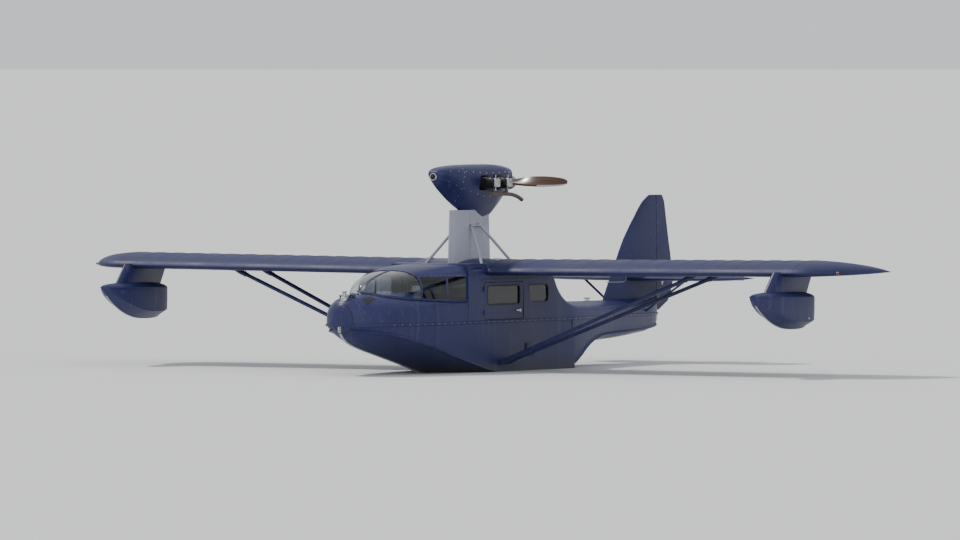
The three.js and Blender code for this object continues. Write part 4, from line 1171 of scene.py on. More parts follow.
tapes = together(*[taped(wing_ring, x, 0.019, 0.0012) for x in ribs[1:]])
wing_skin = joined(
    cut(panel.copy(), bay.copy()),
    rod(on_hinge(AILERON[0] - 0.028), on_hinge(AILERON[0] - SEAM), 0.014, 20),
    rod(on_hinge(AILERON[1] + SEAM), on_hinge(AILERON[1] + 0.028), 0.014, 20),
)
aileron_skin = joined(
    shared(panel, aileron_block.copy()), rod(on_hinge(AILERON[0]), on_hinge(AILERON[1]), NOSE, 40),
)
wing_tapes = cut(tapes.copy(), bay)
aileron_tapes = shared(tapes, aileron_block)
for side, label in SIDES:
    parts = [wing_skin, wing_tapes, aileron_skin, aileron_tapes]
    skin, tape, flap, flap_tape = [on_side(bm, side) for bm in parts]
    aileron_body = "aileron_" + label
    piece("wing_skin_" + label, skin, navy_cloth, ["wing_" + label], corner=40)
    piece("wing_tapes_" + label, tape, navy_cloth, corner=40)
    piece("aileron_skin_" + label, flap, navy_cloth, [aileron_body], aileron_body, corner=40)
    piece("aileron_tapes_" + label, flap_tape, navy_cloth, body=aileron_body, corner=40)


# Wing fittings: fuel caps over the centre section, inspection covers, tip lamps and an air speed
# tube under the port wing, and a horn under each aileron for its push rod.
def on_wing(x, y, under=False):
    """The point of the wing's upper or lower surface nearest to a place in its plan."""
    ring = wing_ring(x, 0, 0, 60)
    return min(ring[60:] if under else ring[:61], key=lambda p: abs(p.y - y))


cap_profile = [
    (0, 0), (0.042, 0), (0.042, 0.003), (0.036, 0.005), (0.034, 0.011), (0.03, 0.013), (0, 0.013),
]
covers = []
for x in (-0.3, 0.3):
    seat = on_wing(0.3, 0.16)
    covers.append(spun(cap_profile, (x, seat.y, seat.z - 0.001), (0, 0.07, 1), 28))
    covers.append(
        softened(
            block((x - 0.02, x + 0.02), (seat.y - 0.004, seat.y + 0.004), (seat.z, seat.z + 0.018)), 0.002,
        )
    )
disc = [(0, 0), (0.052, 0), (0.052, 0.001), (0.048, 0.0025), (0, 0.0025)]
disc_places = [(x, y) for x in (0.92, 1.72, 2.52, 3.7, 4.3) for y in (-0.35, 0.22)]
for x, y in disc_places:
    for side in (1, -1):
        low = on_wing(x, y, True)
        covers.append(spun(disc, (side * x, low.y, low.z + 0.0015), (0, 0, -1), 24))
piece("wing_covers", together(*covers), alloy)

tube_path = [
    (2.39, -0.5, 1.19), (2.39, -0.52, 1.12), (2.39, -0.56, 1.1), (2.39, -0.7, 1.1), (2.39, -0.94, 1.1),
]
probe = swept(tube_path, eye_ring, ACROSS)
piece("airspeed_tube", probe, alloy)

for side, label, glow in ((1, "left", (0.5, 0.01, 0.01)), (-1, "right", (0.01, 0.28, 0.06))):
    front = on_wing(5.28, -1)
    facing = Vector((side * 0.75, -0.66, 0))
    base = spun(
        [(0, -0.03), (0.017, -0.03), (0.018, 0), (0.015, 0.004), (0, 0.004)],
        (side * 5.28, front.y, front.z), facing, 24,
    )
    lens = spun(
        [(0, 0.003), (0.0145, 0.003), (0.0145, 0.009), (0.012, 0.018), (0.007, 0.024), (0, 0.026)],
        (side * 5.28, front.y, front.z), facing, 24,
    )
    piece("tip_lamp_base_" + label, base, alloy)
    piece("tip_lamp_lens_" + label, lens, clear("lamp lens " + label, glow, 0.08))
    low = on_wing(3.9, 0.47, True)
    horn = slab(
        [(0.425, low.z + 0.02), (0.53, low.z + 0.02), (0.452, low.z - 0.075), (0.428, low.z - 0.075)],
        "x", 3.897, 3.903,
    )
    eye_bolt = rod((3.89, 0.44, low.z - 0.062), (3.91, 0.44, low.z - 0.062), 0.005, 12)
    horn = on_side(together(horn, eye_bolt), side)
    piece("aileron_horn_" + label, horn, alloy, body="aileron_" + label)


# Lift struts: streamlined steel tubes in a V on each side, bolted to a fitting low on the hull and
# to two fittings under the wing, with a clamped cuff at each end.
def faired(start, end, chord, thickness, count=14):
    """A streamlined bar between two points, its chord lying along Y."""
    start, end = Vector(start), Vector(end)
    along = (end - start).normalized()
    back = (Vector((0, 1, 0)) - along * along.y).normalized()
    across = along.cross(back)
    section = [((u - 0.4) * chord, h * chord) for u, h in foil(0, thickness / chord, count)]
    return lofted([[centre + back * b + across * a for b, a in section] for centre in (start, end)])


def above_wing(x):
    return block((1, 5.6), (-0.9, 0.9), (wing_z(x) + 0.015, 1.6))


struts, cuffs = [], []
for foot_y, top_y in ((-0.43, -0.385), (-0.29, 0.2)):
    bar = faired((0.5, foot_y, 0.08), (3.412, top_y, 1.23), 0.105, 0.044)
    bar = cut(bar, above_wing(3.3), shifted(hull_solid, SEAM, 0, 0))
    struts += [bar, other_side(bar)]
    for start, end in ((0.032, 0.07), (0.9, 0.938)):
        foot, head = Vector((0.5, foot_y, 0.08)), Vector((3.412, top_y, 1.23))
        cuff = faired(foot.lerp(head, start), foot.lerp(head, end), 0.118, 0.056)
        cuffs += [cuff, other_side(cuff)]
        for share in (start + 0.01, end - 0.01):
            middle = foot.lerp(head, share)
            bolt = spun(
                [
                    (0, -0.034), (0.008, -0.034), (0.008, -0.028), (0.005, -0.028), (0.005, 0.028),
                    (0.008, 0.028), (0.008, 0.034), (0, 0.034),
                ],
                middle, (-0.37, 0, 0.93), 12,
            )
            cuffs += [bolt, other_side(bolt)]
piece("strut_cuffs", together(*cuffs), navy, corner=40)
piece(
    "lift_struts", together(*struts), navy,
    ["lift_strut_front_left", "lift_strut_front_right", "lift_strut_rear_left", "lift_strut_rear_right"],
    corner=40,
)

# Tip floats: planing floats with a V bottom, each on a broad faired pylon under the outer wing, with
# rub strips along its sides, a keel band and a drain plug.
FLOAT_X = 4.62
float_lines = made_rows("y chine_x keel chine_z top_x top_z crown", [
    (-1.28, 0.022, 0.912, 0.928, 0.034, 0.955, 0.978),
    (-1.225, 0.062, 0.855, 0.892, 0.078, 0.955, 0.99),
    (-1.09, 0.112, 0.755, 0.83, 0.128, 0.955, 1.002),
    (-0.88, 0.152, 0.65, 0.74, 0.164, 0.953, 1.01),
    (-0.65, 0.168, 0.585, 0.675, 0.178, 0.95, 1.012),
    (-0.42, 0.17, 0.568, 0.655, 0.178, 0.945, 1.01),
    (-0.2, 0.158, 0.574, 0.658, 0.164, 0.94, 1.0),
    (-0.12, 0.134, 0.594, 0.672, 0.14, 0.934, 0.988),
])


def float_ring(row):
    rise = row.crown - row.top_z
    rounded_top = [(row.top_x * cos(a), row.top_z + rise * sin(a)) for a in steps(0, pi / 2, 8)]
    lower = [(row.chine_x * t, row.keel + (row.chine_z - row.keel) * t) for t in (0, 0.5, 1)]
    middle = (row.top_x, (row.chine_z + row.top_z) / 2)
    rounded_top[-1] = (0, row.crown)
    return both_sides(lower + [middle] + rounded_top, row.y)


float_stations = [-1.28, -1.265, -1.245] + steps(-1.225, -0.12, 20)
float_hull = carried(float_ring, float_lines, float_stations)


def stem_ring(z, front, chord):
    return [Vector((FLOAT_X + h * chord, front + u * chord, z)) for u, h in foil(0, 0.14 / chord, 18)]


stem = cut(lofted([stem_ring(0.9, -1.1, 0.98), stem_ring(1.26, -0.8, 0.88)]), above_wing(FLOAT_X))
for side, label in SIDES:
    body = shifted(float_hull, side * FLOAT_X, 0, 0)
    pylon = on_side(stem, side)
    piece("float_hull_" + label, body, navy, ["float_" + label], corner=28)
    piece("float_pylon_" + label, pylon, navy, ["float_pylon_" + label], corner=40)

float_fittings = []
keel_path = [Vector((FLOAT_X, y, row_at(float_lines, y).keel)) for y in float_stations[3:]]
float_fittings.append(swept(keel_path, [(a * 0.6, b * 0.6) for a, b in keel_band], UP))
drain = row_at(float_lines, -0.3)
float_fittings.append(
    spun(
        [(0, 0), (0.014, 0), (0.014, 0.004), (0.008, 0.005), (0.008, 0.01), (0, 0.01)],
        (FLOAT_X + drain.top_x - 0.004, -0.3, drain.chine_z + 0.04), (1, 0, 0), 16,
    )
)
float_rail = []
for y in float_stations[2:-1]:
    row = row_at(float_lines, y)
    float_rail.append(Vector((FLOAT_X + row.top_x, y, row.top_z)))
inner_rail = [Vector((2 * FLOAT_X - p.x, p.y, p.z)) for p in float_rail]
rub_section = [(0.002, -0.009), (-0.006, -0.007), (-0.009, 0), (-0.006, 0.007), (0.002, 0.009)]
rub_strips = together(swept(float_rail[::-1], rub_section, UP), swept(inner_rail, rub_section, UP))
piece("float_rub_strips", twins(rub_strips), navy)
piece("float_fittings", twins(together(*float_fittings)), alloy, corner=40)

# Engine pylon: a broad pale fin over the wing, braced by a V of steel tubes on each side.
pale = painted(
    "pale blue-grey paint", (0.3, 0.31, 0.38), (0.25, 0.26, 0.32), 0.35, 0.5, 0, 0.7,
)
ENGINE_Z = 2.25


def pylon_ring(z, chord):
    return [Vector((h * chord, -0.225 + (u - 0.5) * chord, z)) for u, h in foil(0, 0.17 / chord, 18)]


pylon = lofted([pylon_ring(1.2, 0.9), pylon_ring(1.925, 0.83)])
post = block((-0.045, 0.045), (-0.26, 0.12), (1.76, 2.058))
piece("engine_pylon_skin", joined(pylon, post), pale, ["engine_pylon"], corner=40)
tubes = []
for y in (-0.6, 0.13):
    bar = rod((0.43, y, 1.24), (0.075, -0.235 + (y + 0.235) * 0.24, 1.763), 0.017, 20)
    tubes += [bar, other_side(bar)]
cross_tube = rod((0.088, -0.35, 1.74), (0.088, -0.12, 1.74), 0.015, 16)
piece(
    "pylon_tubes", together(*tubes, cross_tube, other_side(cross_tube)), pale,
    ["pylon_strut_left", "pylon_strut_right"],
)

# Cowl: an aluminium pod with a V belly, open at the tail and over the cylinders, with an alloy ring
# at its nose and rows of quarter-turn fasteners.
cowl_lines = made_rows("y half_width top belly", [
    (-1.02, 0.06, 2.385, 2.275),
    (-0.985, 0.098, 2.412, 2.228),
    (-0.88, 0.142, 2.44, 2.152),
    (-0.64, 0.182, 2.462, 2.01),
    (-0.38, 0.198, 2.47, 1.892),
    (-0.11, 0.2, 2.471, 1.806),
    (0.13, 0.194, 2.47, 1.842),
    (0.32, 0.18, 2.458, 1.96),
    (0.48, 0.152, 2.432, 2.085),
])
cowl_half_rows = made_rows("y width rise", [
    (0, 0, 0), (1, 0.16, 0.02), (2, 0.4, 0.16), (3, 0.72, 0.38), (4, 0.95, 0.6), (5, 1, 0.76),
    (6, 0.9, 0.89), (7, 0.62, 0.97), (8, 0.3, 0.995), (9, 0, 1),
])
cowl_half = [row_at(cowl_half_rows, k) for k in steps(0, 9, 27)]


def cowl_ring(row, inset=0.0):
    belly = row.belly + inset
    rise = row.top - inset - belly
    half = [(max(0, p.width) * (row.half_width - inset), belly + rise * p.rise) for p in cowl_half]
    half[0] = (0, half[0][1])
    half[-1] = (0, half[-1][1])
    return both_sides(half, row.y)


cowl_stations = [-1.02, -1.005, -0.985, -0.955, -0.92, -0.88, -0.82, -0.76, -0.7] + steps(-0.64, 0.48, 18)
cowl_outer = carried(cowl_ring, cowl_lines, cowl_stations)
cowl_inner = carried(cowl_ring, cowl_lines, cowl_stations[1:-1] + [0.5], 0.006)
cylinder_places = [(side, y - side * 0.02) for side in (1, -1) for y in (-0.185, 0.085)]
cowl = cut(cowl_outer, cowl_inner, inside=True)
cowl = cut(cowl, rod((0, -1.04, 2.328), (0, -0.92, 2.328), 0.036, 32))
for side, y in cylinder_places:
    x = sorted((side * 0.11, side * 0.26))
    cowl = cut(
        cowl, slab(rounded((y - 0.088, y + 0.088), (ENGINE_Z - 0.088, ENGINE_Z + 0.088), 0.03), "x", *x),
    )
navy_cowl = painted(
    "navy cowl paint", (0.013, 0.016, 0.072), (0.022, 0.026, 0.098), 0.32, 0.4, 0, 0.5,
)
piece("cowl_skin", cowl, [navy_cowl, alloy], ["engine_cowl"], corner=40)


def on_cowl(y, k):
    """A point of the cowl's port side and the way it faces; k runs from the belly to the top."""
    row, place = row_at(cowl_lines, y), row_at(cowl_half_rows, k)
    rise = row.top - row.belly
    before, after = row_at(cowl_half_rows, k - 0.1), row_at(cowl_half_rows, k + 0.1)
    up = (after.rise - before.rise) * rise
    out = (after.width - before.width) * row.half_width
    return (place.width * row.half_width, y, row.belly + place.rise * rise), (up, 0, -out)


fasteners = [on_cowl(y, k) for k in (5.6, 3.2) for y in steps(-0.86, 0.42, 9)]
fasteners += [on_cowl(y, k) for y in (-0.62, 0.38) for k in steps(1.5, 8.5, 9)]
piece("cowl_fasteners", screw_heads(both(fasteners), 0.0075, 0.0016, 12), alloy)
nose_ring = spun(
    [(0.033, -0.004), (0.036, -0.012), (0.044, -0.012), (0.048, -0.003), (0.048, 0.02), (0.033, 0.02)],
    (0, -1.02, 2.328), (0, 1, 0), 40,
)
piece("cowl_nose_ring", nose_ring, alloy, corner=50)

# Engine: a flat four, black crankcase and finned cylinders lying across the boat, with alloy rocker
# covers and spark plugs, and a rubber lead bent over to each plug.
black = painted(
    "black engine paint", (0.012, 0.012, 0.013), (0.03, 0.03, 0.031), 0.45, 0.0, 0, 40,
)

PROP_Y = 0.52
crankcase = softened(block((-0.105, 0.105), (-0.33, 0.29), (ENGINE_Z - 0.095, ENGINE_Z + 0.095)), 0.012)
sump = softened(block((-0.07, 0.07), (-0.25, 0.11), (2.0584, ENGINE_Z - 0.09)), 0.01)
snout = spun(
    [
        (0, 0.28), (0.07, 0.28), (0.052, 0.31), (0.045, 0.34), (0.045, 0.5), (0.072, 0.5), (0.075, 0.503),
        (0.075, 0.517), (0.072, 0.52), (0, 0.52),
    ],
    (0, 0, ENGINE_Z), (0, 1, 0), 40,
)
cylinder_profile = [(0, 0), (0.062, 0), (0.062, 0.03), (0.052, 0.032)]
for k in range(12):
    out = 0.066 + 0.0115 * k
    cylinder_profile += [(0.052, out), (0.074, out + 0.001), (0.074, out + 0.004), (0.052, out + 0.005)]
for k in range(5):
    out = 0.207 + 0.013 * k
    cylinder_profile += [(0.054, out), (0.068, out + 0.001), (0.068, out + 0.006), (0.054, out + 0.007)]
cylinder_profile += [(0.05, 0.272), (0.052, 0.276), (0.052, 0.29), (0.04, 0.3), (0, 0.3)]
cylinders = [
    spun(cylinder_profile, (side * 0.085, y, ENGINE_Z), (side, 0, 0), 32) for side, y in cylinder_places
]
piece("engine_block", together(crankcase, sump, snout, *cylinders), black, ["engine"])

rockers, ignition, sleeves = [], [], []
for side, y in cylinder_places:
    rockers.append(
        softened(
            block(sorted((side * 0.366, side * 0.392)), (y - 0.056, y + 0.056), (2.2, 2.3)), 0.009, 3,
        )
    )
    for dy in (-0.03, 0.03):
        rockers.append(
            rod((side * 0.1, y + dy, ENGINE_Z + 0.07), (side * 0.372, y + dy, ENGINE_Z + 0.045), 0.0065)
        )
        for dz in (-0.036, 0.036):
            rockers.append(
                rod(
                    (side * 0.39, y + dy * 1.4, ENGINE_Z + dz),
                    (side * 0.395, y + dy * 1.4, ENGINE_Z + dz), 0.005, 6,
                )
            )
    for way in (1, -1):
        root = Vector((side * 0.352, y, ENGINE_Z + way * 0.05))
        sleeves.append(
            spun(
                [
                    (0, 0), (0.011, 0), (0.011, 0.008), (0.007, 0.01), (0.0065, 0.03), (0.008, 0.031),
                    (0.008, 0.045), (0, 0.045),
                ],
                root, (side * 0.15, 0, way), 12,
            )
        )
        ignition.append([
            root + Vector((side * 0.006, 0, way * 0.043)),
            root + Vector((side * 0.003, 0.004, way * 0.058)),
            root + Vector((-side * 0.04, 0.012, way * 0.06)),
            Vector((side * 0.21, y + 0.03, ENGINE_Z + way * 0.083)),
            Vector((side * 0.12, y + 0.05, ENGINE_Z + way * 0.088)),
            Vector((side * 0.07, y + 0.06, ENGINE_Z + way * 0.09)),
        ])
piece("rocker_covers", together(*rockers), alloy, corner=40)
piece("spark_plugs", together(*sleeves), alloy, corner=40)


def smooth_path(points, count):
    """Points along a soft curve through those given."""
    rows = made_rows("y px py pz", [(k, *p) for k, p in enumerate(points)])
    found = [row_at(rows, t) for t in steps(0, len(points) - 1, count)]
    return [Vector((row.px, row.py, row.pz)) for row in found]


def round_ring(point, along, radius, sides=16, up=Vector((0.3, 0, 1))):
    side = along.cross(up).normalized()
    over = side.cross(along).normalized()
    return [point + side * a + over * b for a, b in circle(radius, sides)]


def tube(path, radius, sides=16, wall=0.0):
    """A round pipe along a path; a wall leaves its far end open."""
    ways = [b - a for a, b in zip(path, path[1:])]
    ways = [ways[0]] + ways
    rings = [round_ring(point, along, radius, sides) for point, along in zip(path, ways)]
    if wall:
        rings += [round_ring(path[k], ways[k], radius - wall, sides) for k in (-1, -2)]
    return lofted(rings)


leads = [tube(smooth_path(points, 20), 0.0035, 10) for points in ignition]
piece("ignition_leads", together(*leads), rubber)

# Exhausts: a steel pipe under each bank of cylinders, heat-stained, with its open end swept down.
steel = painted("stained steel", (0.05, 0.042, 0.036), (0.12, 0.09, 0.07), 0.4, 0.0, 0, 40)
pipe_path = smooth_path(
    [
        (0.335, -0.26, 2.12), (0.335, 0, 2.116), (0.33, 0.18, 2.108), (0.322, 0.33, 2.08),
        (0.315, 0.44, 2.04),
    ],
    28,
)
for side, label in SIDES:
    pipe = on_side(tube(pipe_path, 0.024, 20, 0.003), side)
    stubs = [
        rod((side * 0.335, y, 2.12), (side * 0.335, y, ENGINE_Z - 0.05), 0.02, 20)
        for s, y in cylinder_places if s == side
    ]
    piece("exhaust_pipe_" + label, together(pipe, *stubs), steel, ["exhaust_" + label])

# Propeller: two blades of laminated wood, stained dark and sheathed with metal along their outer
# leading edges, on a round hub, with a spinner screwed on behind it.
grain, given, gives = effect("grain", {"X": 40.0, "Y": 2.5, "Z": 40.0}, ["Tone", "Height"])
place = spot(grain)
axes = node(grain, "SeparateXYZ", {"Vector": place}).outputs
scaled = {axis: times(grain, axes[axis], given[axis]) for axis in "XYZ"}
scaled = node(grain, "CombineXYZ", scaled).outputs["Vector"]
streaks = noise(grain, scaled, 1.0, 6, 0.65)
pores = noise(grain, scaled, 6.0, 2, 0.7)
fibres = plus(grain, times(grain, streaks, 0.75), times(grain, pores, 0.25))
grain.links.new(stretched(grain, 0.38, 0.62, fibres), gives["Tone"])
grain.links.new(fibres, gives["Height"])


def timber(name, dark, light, scales, rough=0.32, layers=None):
    """Varnished wood; scales are how fine its grain is along each axis, layers an axis and a thickness."""
    made, tree, sockets = finish(name)
    fibres = node(tree, "Group", dict(zip("XYZ", scales)), node_tree=grain).outputs
    tone = blended(tree, fibres["Tone"], dark, light)
    if layers:
        axis = node(tree, "SeparateXYZ", {"Vector": spot(tree)}).outputs[layers[0]]
        share = maths(tree, "DIVIDE", axis, layers[1])
        glue = maths(tree, "LESS_THAN", maths(tree, "FRACT", share), 0.06)
        other = maths(tree, "GREATER_THAN", maths(tree, "FRACT", times(tree, share, 0.5)), 0.5)
        for factor, shade in ((times(tree, other, 0.35), 0.5), (glue, 0.3)):
            tone = blended(tree, factor, tone, tuple(c * shade for c in dark))
    shine = stretched(tree, 0, 1, fibres["Tone"], rough + 0.12, rough)
    fed(tree, sockets, Base_Color=tone, Roughness=shine, Normal=bumped(tree, 0.2, 0.001, fibres["Height"]))
    return made


wood = timber(
    "laminated propeller wood", (0.035, 0.014, 0.007), (0.1, 0.042, 0.018), (3, 60, 60),
    0.18, ("Y", 0.017),
)
blade_lines = made_rows("y chord thickness pitch", [
    (0.03, 0.084, 0.62, 52),
    (0.12, 0.1, 0.36, 46),
    (0.28, 0.132, 0.17, 35),
    (0.48, 0.138, 0.12, 25),
    (0.68, 0.118, 0.1, 19),
    (0.82, 0.084, 0.09, 16),
    (0.88, 0.04, 0.08, 15),
])
HUB_Y = PROP_Y + SEAM + 0.048


def on_blade(row, along, up):
    """A point of a blade's section, turned to the blade's pitch there."""
    angle = radians(row.pitch)
    turned = along * sin(angle) + up * cos(angle), along * cos(angle) - up * sin(angle)
    return Vector((row.y, HUB_Y + turned[0], ENGINE_Z + turned[1]))


def blade_ring(row):
    chord = row.chord
    return [on_blade(row, (u - 0.42) * chord, h * chord) for u, h in foil(0.03, row.thickness, 12)]


def sheath_ring(row):
    """Round the leading edge only, standing just off the wood and dipping back into it."""
    edge = [p for p in foil(0.03, row.thickness, 24) if p[0] < 0.16]
    ring = []
    for lift in (0.0009, -0.0012):
        for u, h in edge if lift > 0 else edge[::-1]:
            away = Vector((u - 0.16, h * 1.6)).normalized()
            along = (u - 0.42) * row.chord + away.x * lift
            ring.append(on_blade(row, along, h * row.chord + away.y * lift))
    return ring


def half_turned(bm):
    """The same body on the other side of the propeller's shaft."""
    twin = bm.copy()
    half_turn = Matrix.Rotation(pi, 3, "Y")
    bmesh.ops.rotate(twin, cent=(0, 0, ENGINE_Z), matrix=half_turn, verts=twin.verts)
    return twin


blade_stations = steps(0.03, 0.84, 26) + [0.852, 0.862, 0.87, 0.876, 0.88]
blade = carried(blade_ring, blade_lines, blade_stations)
second = half_turned(blade)
hub = spun(
    [
        (0, PROP_Y + SEAM), (0.066, PROP_Y + SEAM), (0.07, PROP_Y + 0.005), (0.07, HUB_Y + 0.045),
        (0.066, HUB_Y + 0.05), (0, HUB_Y + 0.05),
    ],
    (0, 0, ENGINE_Z), (0, 1, 0), 40,
)
piece("propeller_blades", joined(hub, blade, second), wood, ["propeller"], "propeller", corner=40)
sheath = carried(sheath_ring, blade_lines, steps(0.46, 0.868, 18))
piece("propeller_sheaths", together(sheath, half_turned(sheath)), alloy, body="propeller", corner=40)
cone = [
    (0, 0), (0.092, 0), (0.092, 0.004), (0.091, 0.02), (0.088, 0.04), (0.082, 0.065), (0.072, 0.09),
    (0.059, 0.116), (0.044, 0.14), (0.03, 0.156), (0.016, 0.168), (0.008, 0.1725), (0, 0.174),
]
spinner = spun([(r, HUB_Y + 0.05 + SEAM + along) for r, along in cone], (0, 0, ENGINE_Z), (0, 1, 0), 48)
piece("spinner_shell", spinner, pale, ["spinner"], "propeller", corner=40)
spinner_screws = [((a, HUB_Y + 0.071, ENGINE_Z + b), (a, 0.00905, b)) for a, b in circle(0.0905, 8)]
piece("spinner_screws", screw_heads(spinner_screws, 0.004, 0.0015), alloy, body="propeller")

# Fin and rudder: spruce frames under cloth taped over their ribs, one swept outline parted at the
# rudder's hinge, with a horn for the rudder's cables.
fin_lines = made_rows("y front rear thickness", [
    (0.7, 2.7, 4.235, 0.045),
    (0.98, 2.868, 4.372, 0.05),
    (1.25, 3.045, 4.335, 0.058),
    (1.52, 3.225, 4.272, 0.066),
    (1.8, 3.48, 4.212, 0.08),
    (1.98, 3.668, 4.172, 0.09),
    (2.06, 3.815, 4.12, 0.08),
])


def fin_ring(z, proud=0.0):
    row = row_at(fin_lines, z)
    chord = row.rear - row.front
    ring = []
    for u, h in foil(0, row.thickness, 16):
        away = Vector((h * 4, u - 0.5, 0)).normalized()
        ring.append(Vector((h * chord, row.front + u * chord, z)) + away * proud)
    return ring


def on_rudder_hinge(z):
    return Vector((0, RUDDER_Y, z))


def fin_block(y, z):
    return block((-0.2, 0.2), y, z)


fin_solid = lofted([fin_ring(z) for z in steps(0.7, 2.06, 34)])
behind_hinge = fin_block((RUDDER_Y, 4.5), (0.5, 2.2))
heel_cut = slab(
    [(3.9, 0.5), (3.9, 0.64), (4.03, 0.64), (4.4, 0.815), (4.5, 0.815), (4.5, 0.5)], "x", -0.2, 0.2,
)
foot = lofted([
    [Vector((h * 1.535, 2.7 + u * 1.535, z)) for u, h in foil(0, 0.045, 16)] for z in (0.64, 0.702)
])
rudder = shared(joined(fin_solid.copy(), foot), behind_hinge.copy())
rudder = cut(joined(rudder, rod(on_rudder_hinge(0.64), on_rudder_hinge(2.04), 0.02, 32)), heel_cut)
fin = cut(
    fin_solid, behind_hinge, rod(on_rudder_hinge(0.5), on_rudder_hinge(2.2), 0.029, 32),
    fin_block((STERN_Y, 4.5), (0.5, 0.83)), fin_block((3.73, 3.79), (1.017, 1.073)),
    rod((-0.2, 3.79, 1.045), (0.2, 3.79, 1.045), 0.0136, 24), fin_block((2.6, STERN_Y), (0.6, 0.745)),
)
tape_heights = (0.86, 1.2, 1.36, 1.52, 1.68, 1.84, 1.96)
tail_tapes = together(*[taped(fin_ring, z, 0.015, 0.001) for z in tape_heights])
rudder_tapes = shared(tail_tapes.copy(), fin_block((RUDDER_Y + 0.004, 4.5), (0.5, 2.2)))
fin_tapes = shared(tail_tapes, fin_block((2.6, RUDDER_Y - 0.032), (0.5, 2.2)))
piece("fin_tapes", fin_tapes, navy_cloth, corner=40)
piece("rudder_tapes", rudder_tapes, navy_cloth, body="rudder", corner=40)
rudder_horn = slab(
    [(-0.12, 3.978), (-0.12, 3.992), (-0.02, 4.05), (0.02, 4.05), (0.12, 3.992), (0.12, 3.978)], "z",
    0.868, 0.873,
)
rudder_horn = together(
    rudder_horn, rod((0.11, 3.985, 0.86), (0.11, 3.985, 0.881), 0.004, 12),
    rod((-0.11, 3.985, 0.86), (-0.11, 3.985, 0.881), 0.004, 12),
)
piece("rudder_horn", rudder_horn, alloy, body="rudder")
piece("fin_skin", fin, navy_cloth, ["fin"], corner=40)
piece("rudder_skin", rudder, navy_cloth, ["rudder"], "rudder", corner=40)

# Tailplane and elevator: cloth taped over ribs, cut through the fin, the elevator's halves on one
# tube, and a streamlined strut under each side.
TAIL_Z = 1.045
TAIL_HINGE = 3.79
tail_lines = made_rows("y front rear thickness", [
    (0, 3.23, 4.15, 0.09),
    (1.0, 3.33, 4.14, 0.085),
    (1.23, 3.39, 4.118, 0.08),
    (1.37, 3.475, 4.06, 0.075),
    (1.43, 3.56, 3.985, 0.07),
    (1.45, 3.64, 3.905, 0.06),
])


def tail_ring(x):
    row = row_at(tail_lines, abs(x))
    chord = row.rear - row.front
    return [Vector((x, row.front + u * chord, TAIL_Z + h * chord)) for u, h in foil(0, row.thickness, 14)]


tail_half = steps(0, 1.0, 8) + [1.08, 1.16, 1.23, 1.28, 1.33, 1.37, 1.4, 1.42, 1.435, 1.445, 1.45]
tail_solid = lofted([tail_ring(x) for x in [-x for x in tail_half[:0:-1]] + tail_half])


def tail_tube(x, radius):
    return rod((-x, TAIL_HINGE, TAIL_Z), (x, TAIL_HINGE, TAIL_Z), radius, 32)


aft_of_hinge = block((-1.6, 1.6), (TAIL_HINGE, 4.3), (0.9, 1.2))
tailplane = cut(tail_solid.copy(), aft_of_hinge.copy(), tail_tube(1.6, 0.037))
half_plan = slab([(0.052, 3.75), (0.052, 3.96), (0.165, 4.2), (1.6, 4.2), (1.6, 3.75)], "z", 0.9, 1.2)
elevator = joined(shared(tail_solid, aft_of_hinge), tail_tube(1.38, 0.026))
halves = together(shared(elevator.copy(), other_side(half_plan)), shared(elevator, half_plan))
elevator = joined(halves, tail_tube(0.08, 0.013))


def proud_ring(x, proud):
    """The tailplane's outline, standing a little off its skin."""
    ring = tail_ring(x)
    middle = sum(ring, Vector()) / len(ring)
    return [p + Vector((0, (p.y - middle.y) * 0.1, p.z - TAIL_Z)).normalized() * proud for p in ring]


plane_tapes = together(*[taped(proud_ring, x, 0.014, 0.001) for x in (0.3, 0.52, 0.74, 0.96, 1.16)])
plane_tapes = together(other_side(plane_tapes), plane_tapes)
elevator_tapes = shared(plane_tapes.copy(), block((-1.6, 1.6), (TAIL_HINGE + 0.004, 4.3), (0.9, 1.2)))
plane_tapes = shared(plane_tapes, block((-1.6, 1.6), (3, TAIL_HINGE - 0.04), (0.9, 1.2)))
piece("tailplane_tapes", plane_tapes, navy_cloth, corner=40)
piece("elevator_tapes", elevator_tapes, navy_cloth, body="elevator", corner=40)
elevator_horn = slab([(3.785, 1.03), (3.85, 1.03), (3.806, 0.95), (3.788, 0.95)], "x", 0.2, 0.205)
elevator_horn = together(elevator_horn, rod((0.193, 3.796, 0.962), (0.212, 3.796, 0.962), 0.004, 12))
piece("elevator_horn", elevator_horn, alloy, body="elevator")
piece("tailplane_skin", tailplane, navy_cloth, ["tailplane"], corner=40)
piece("elevator_skin", elevator, navy_cloth, ["elevator"], "elevator", corner=40)
tail_bar = faired((0.15, 3.42, 0.6), (0.82, 3.52, 1.08), 0.06, 0.024)
tail_bar = cut(
    tail_bar, block((0, 2), (3, 4), (TAIL_Z, 1.3)), block((0, 2), (3, 4), (0.4, HULL_TOP + 0.03)),
)
piece("tail_struts", twins(tail_bar), navy, ["tail_strut_left", "tail_strut_right"], corner=40)

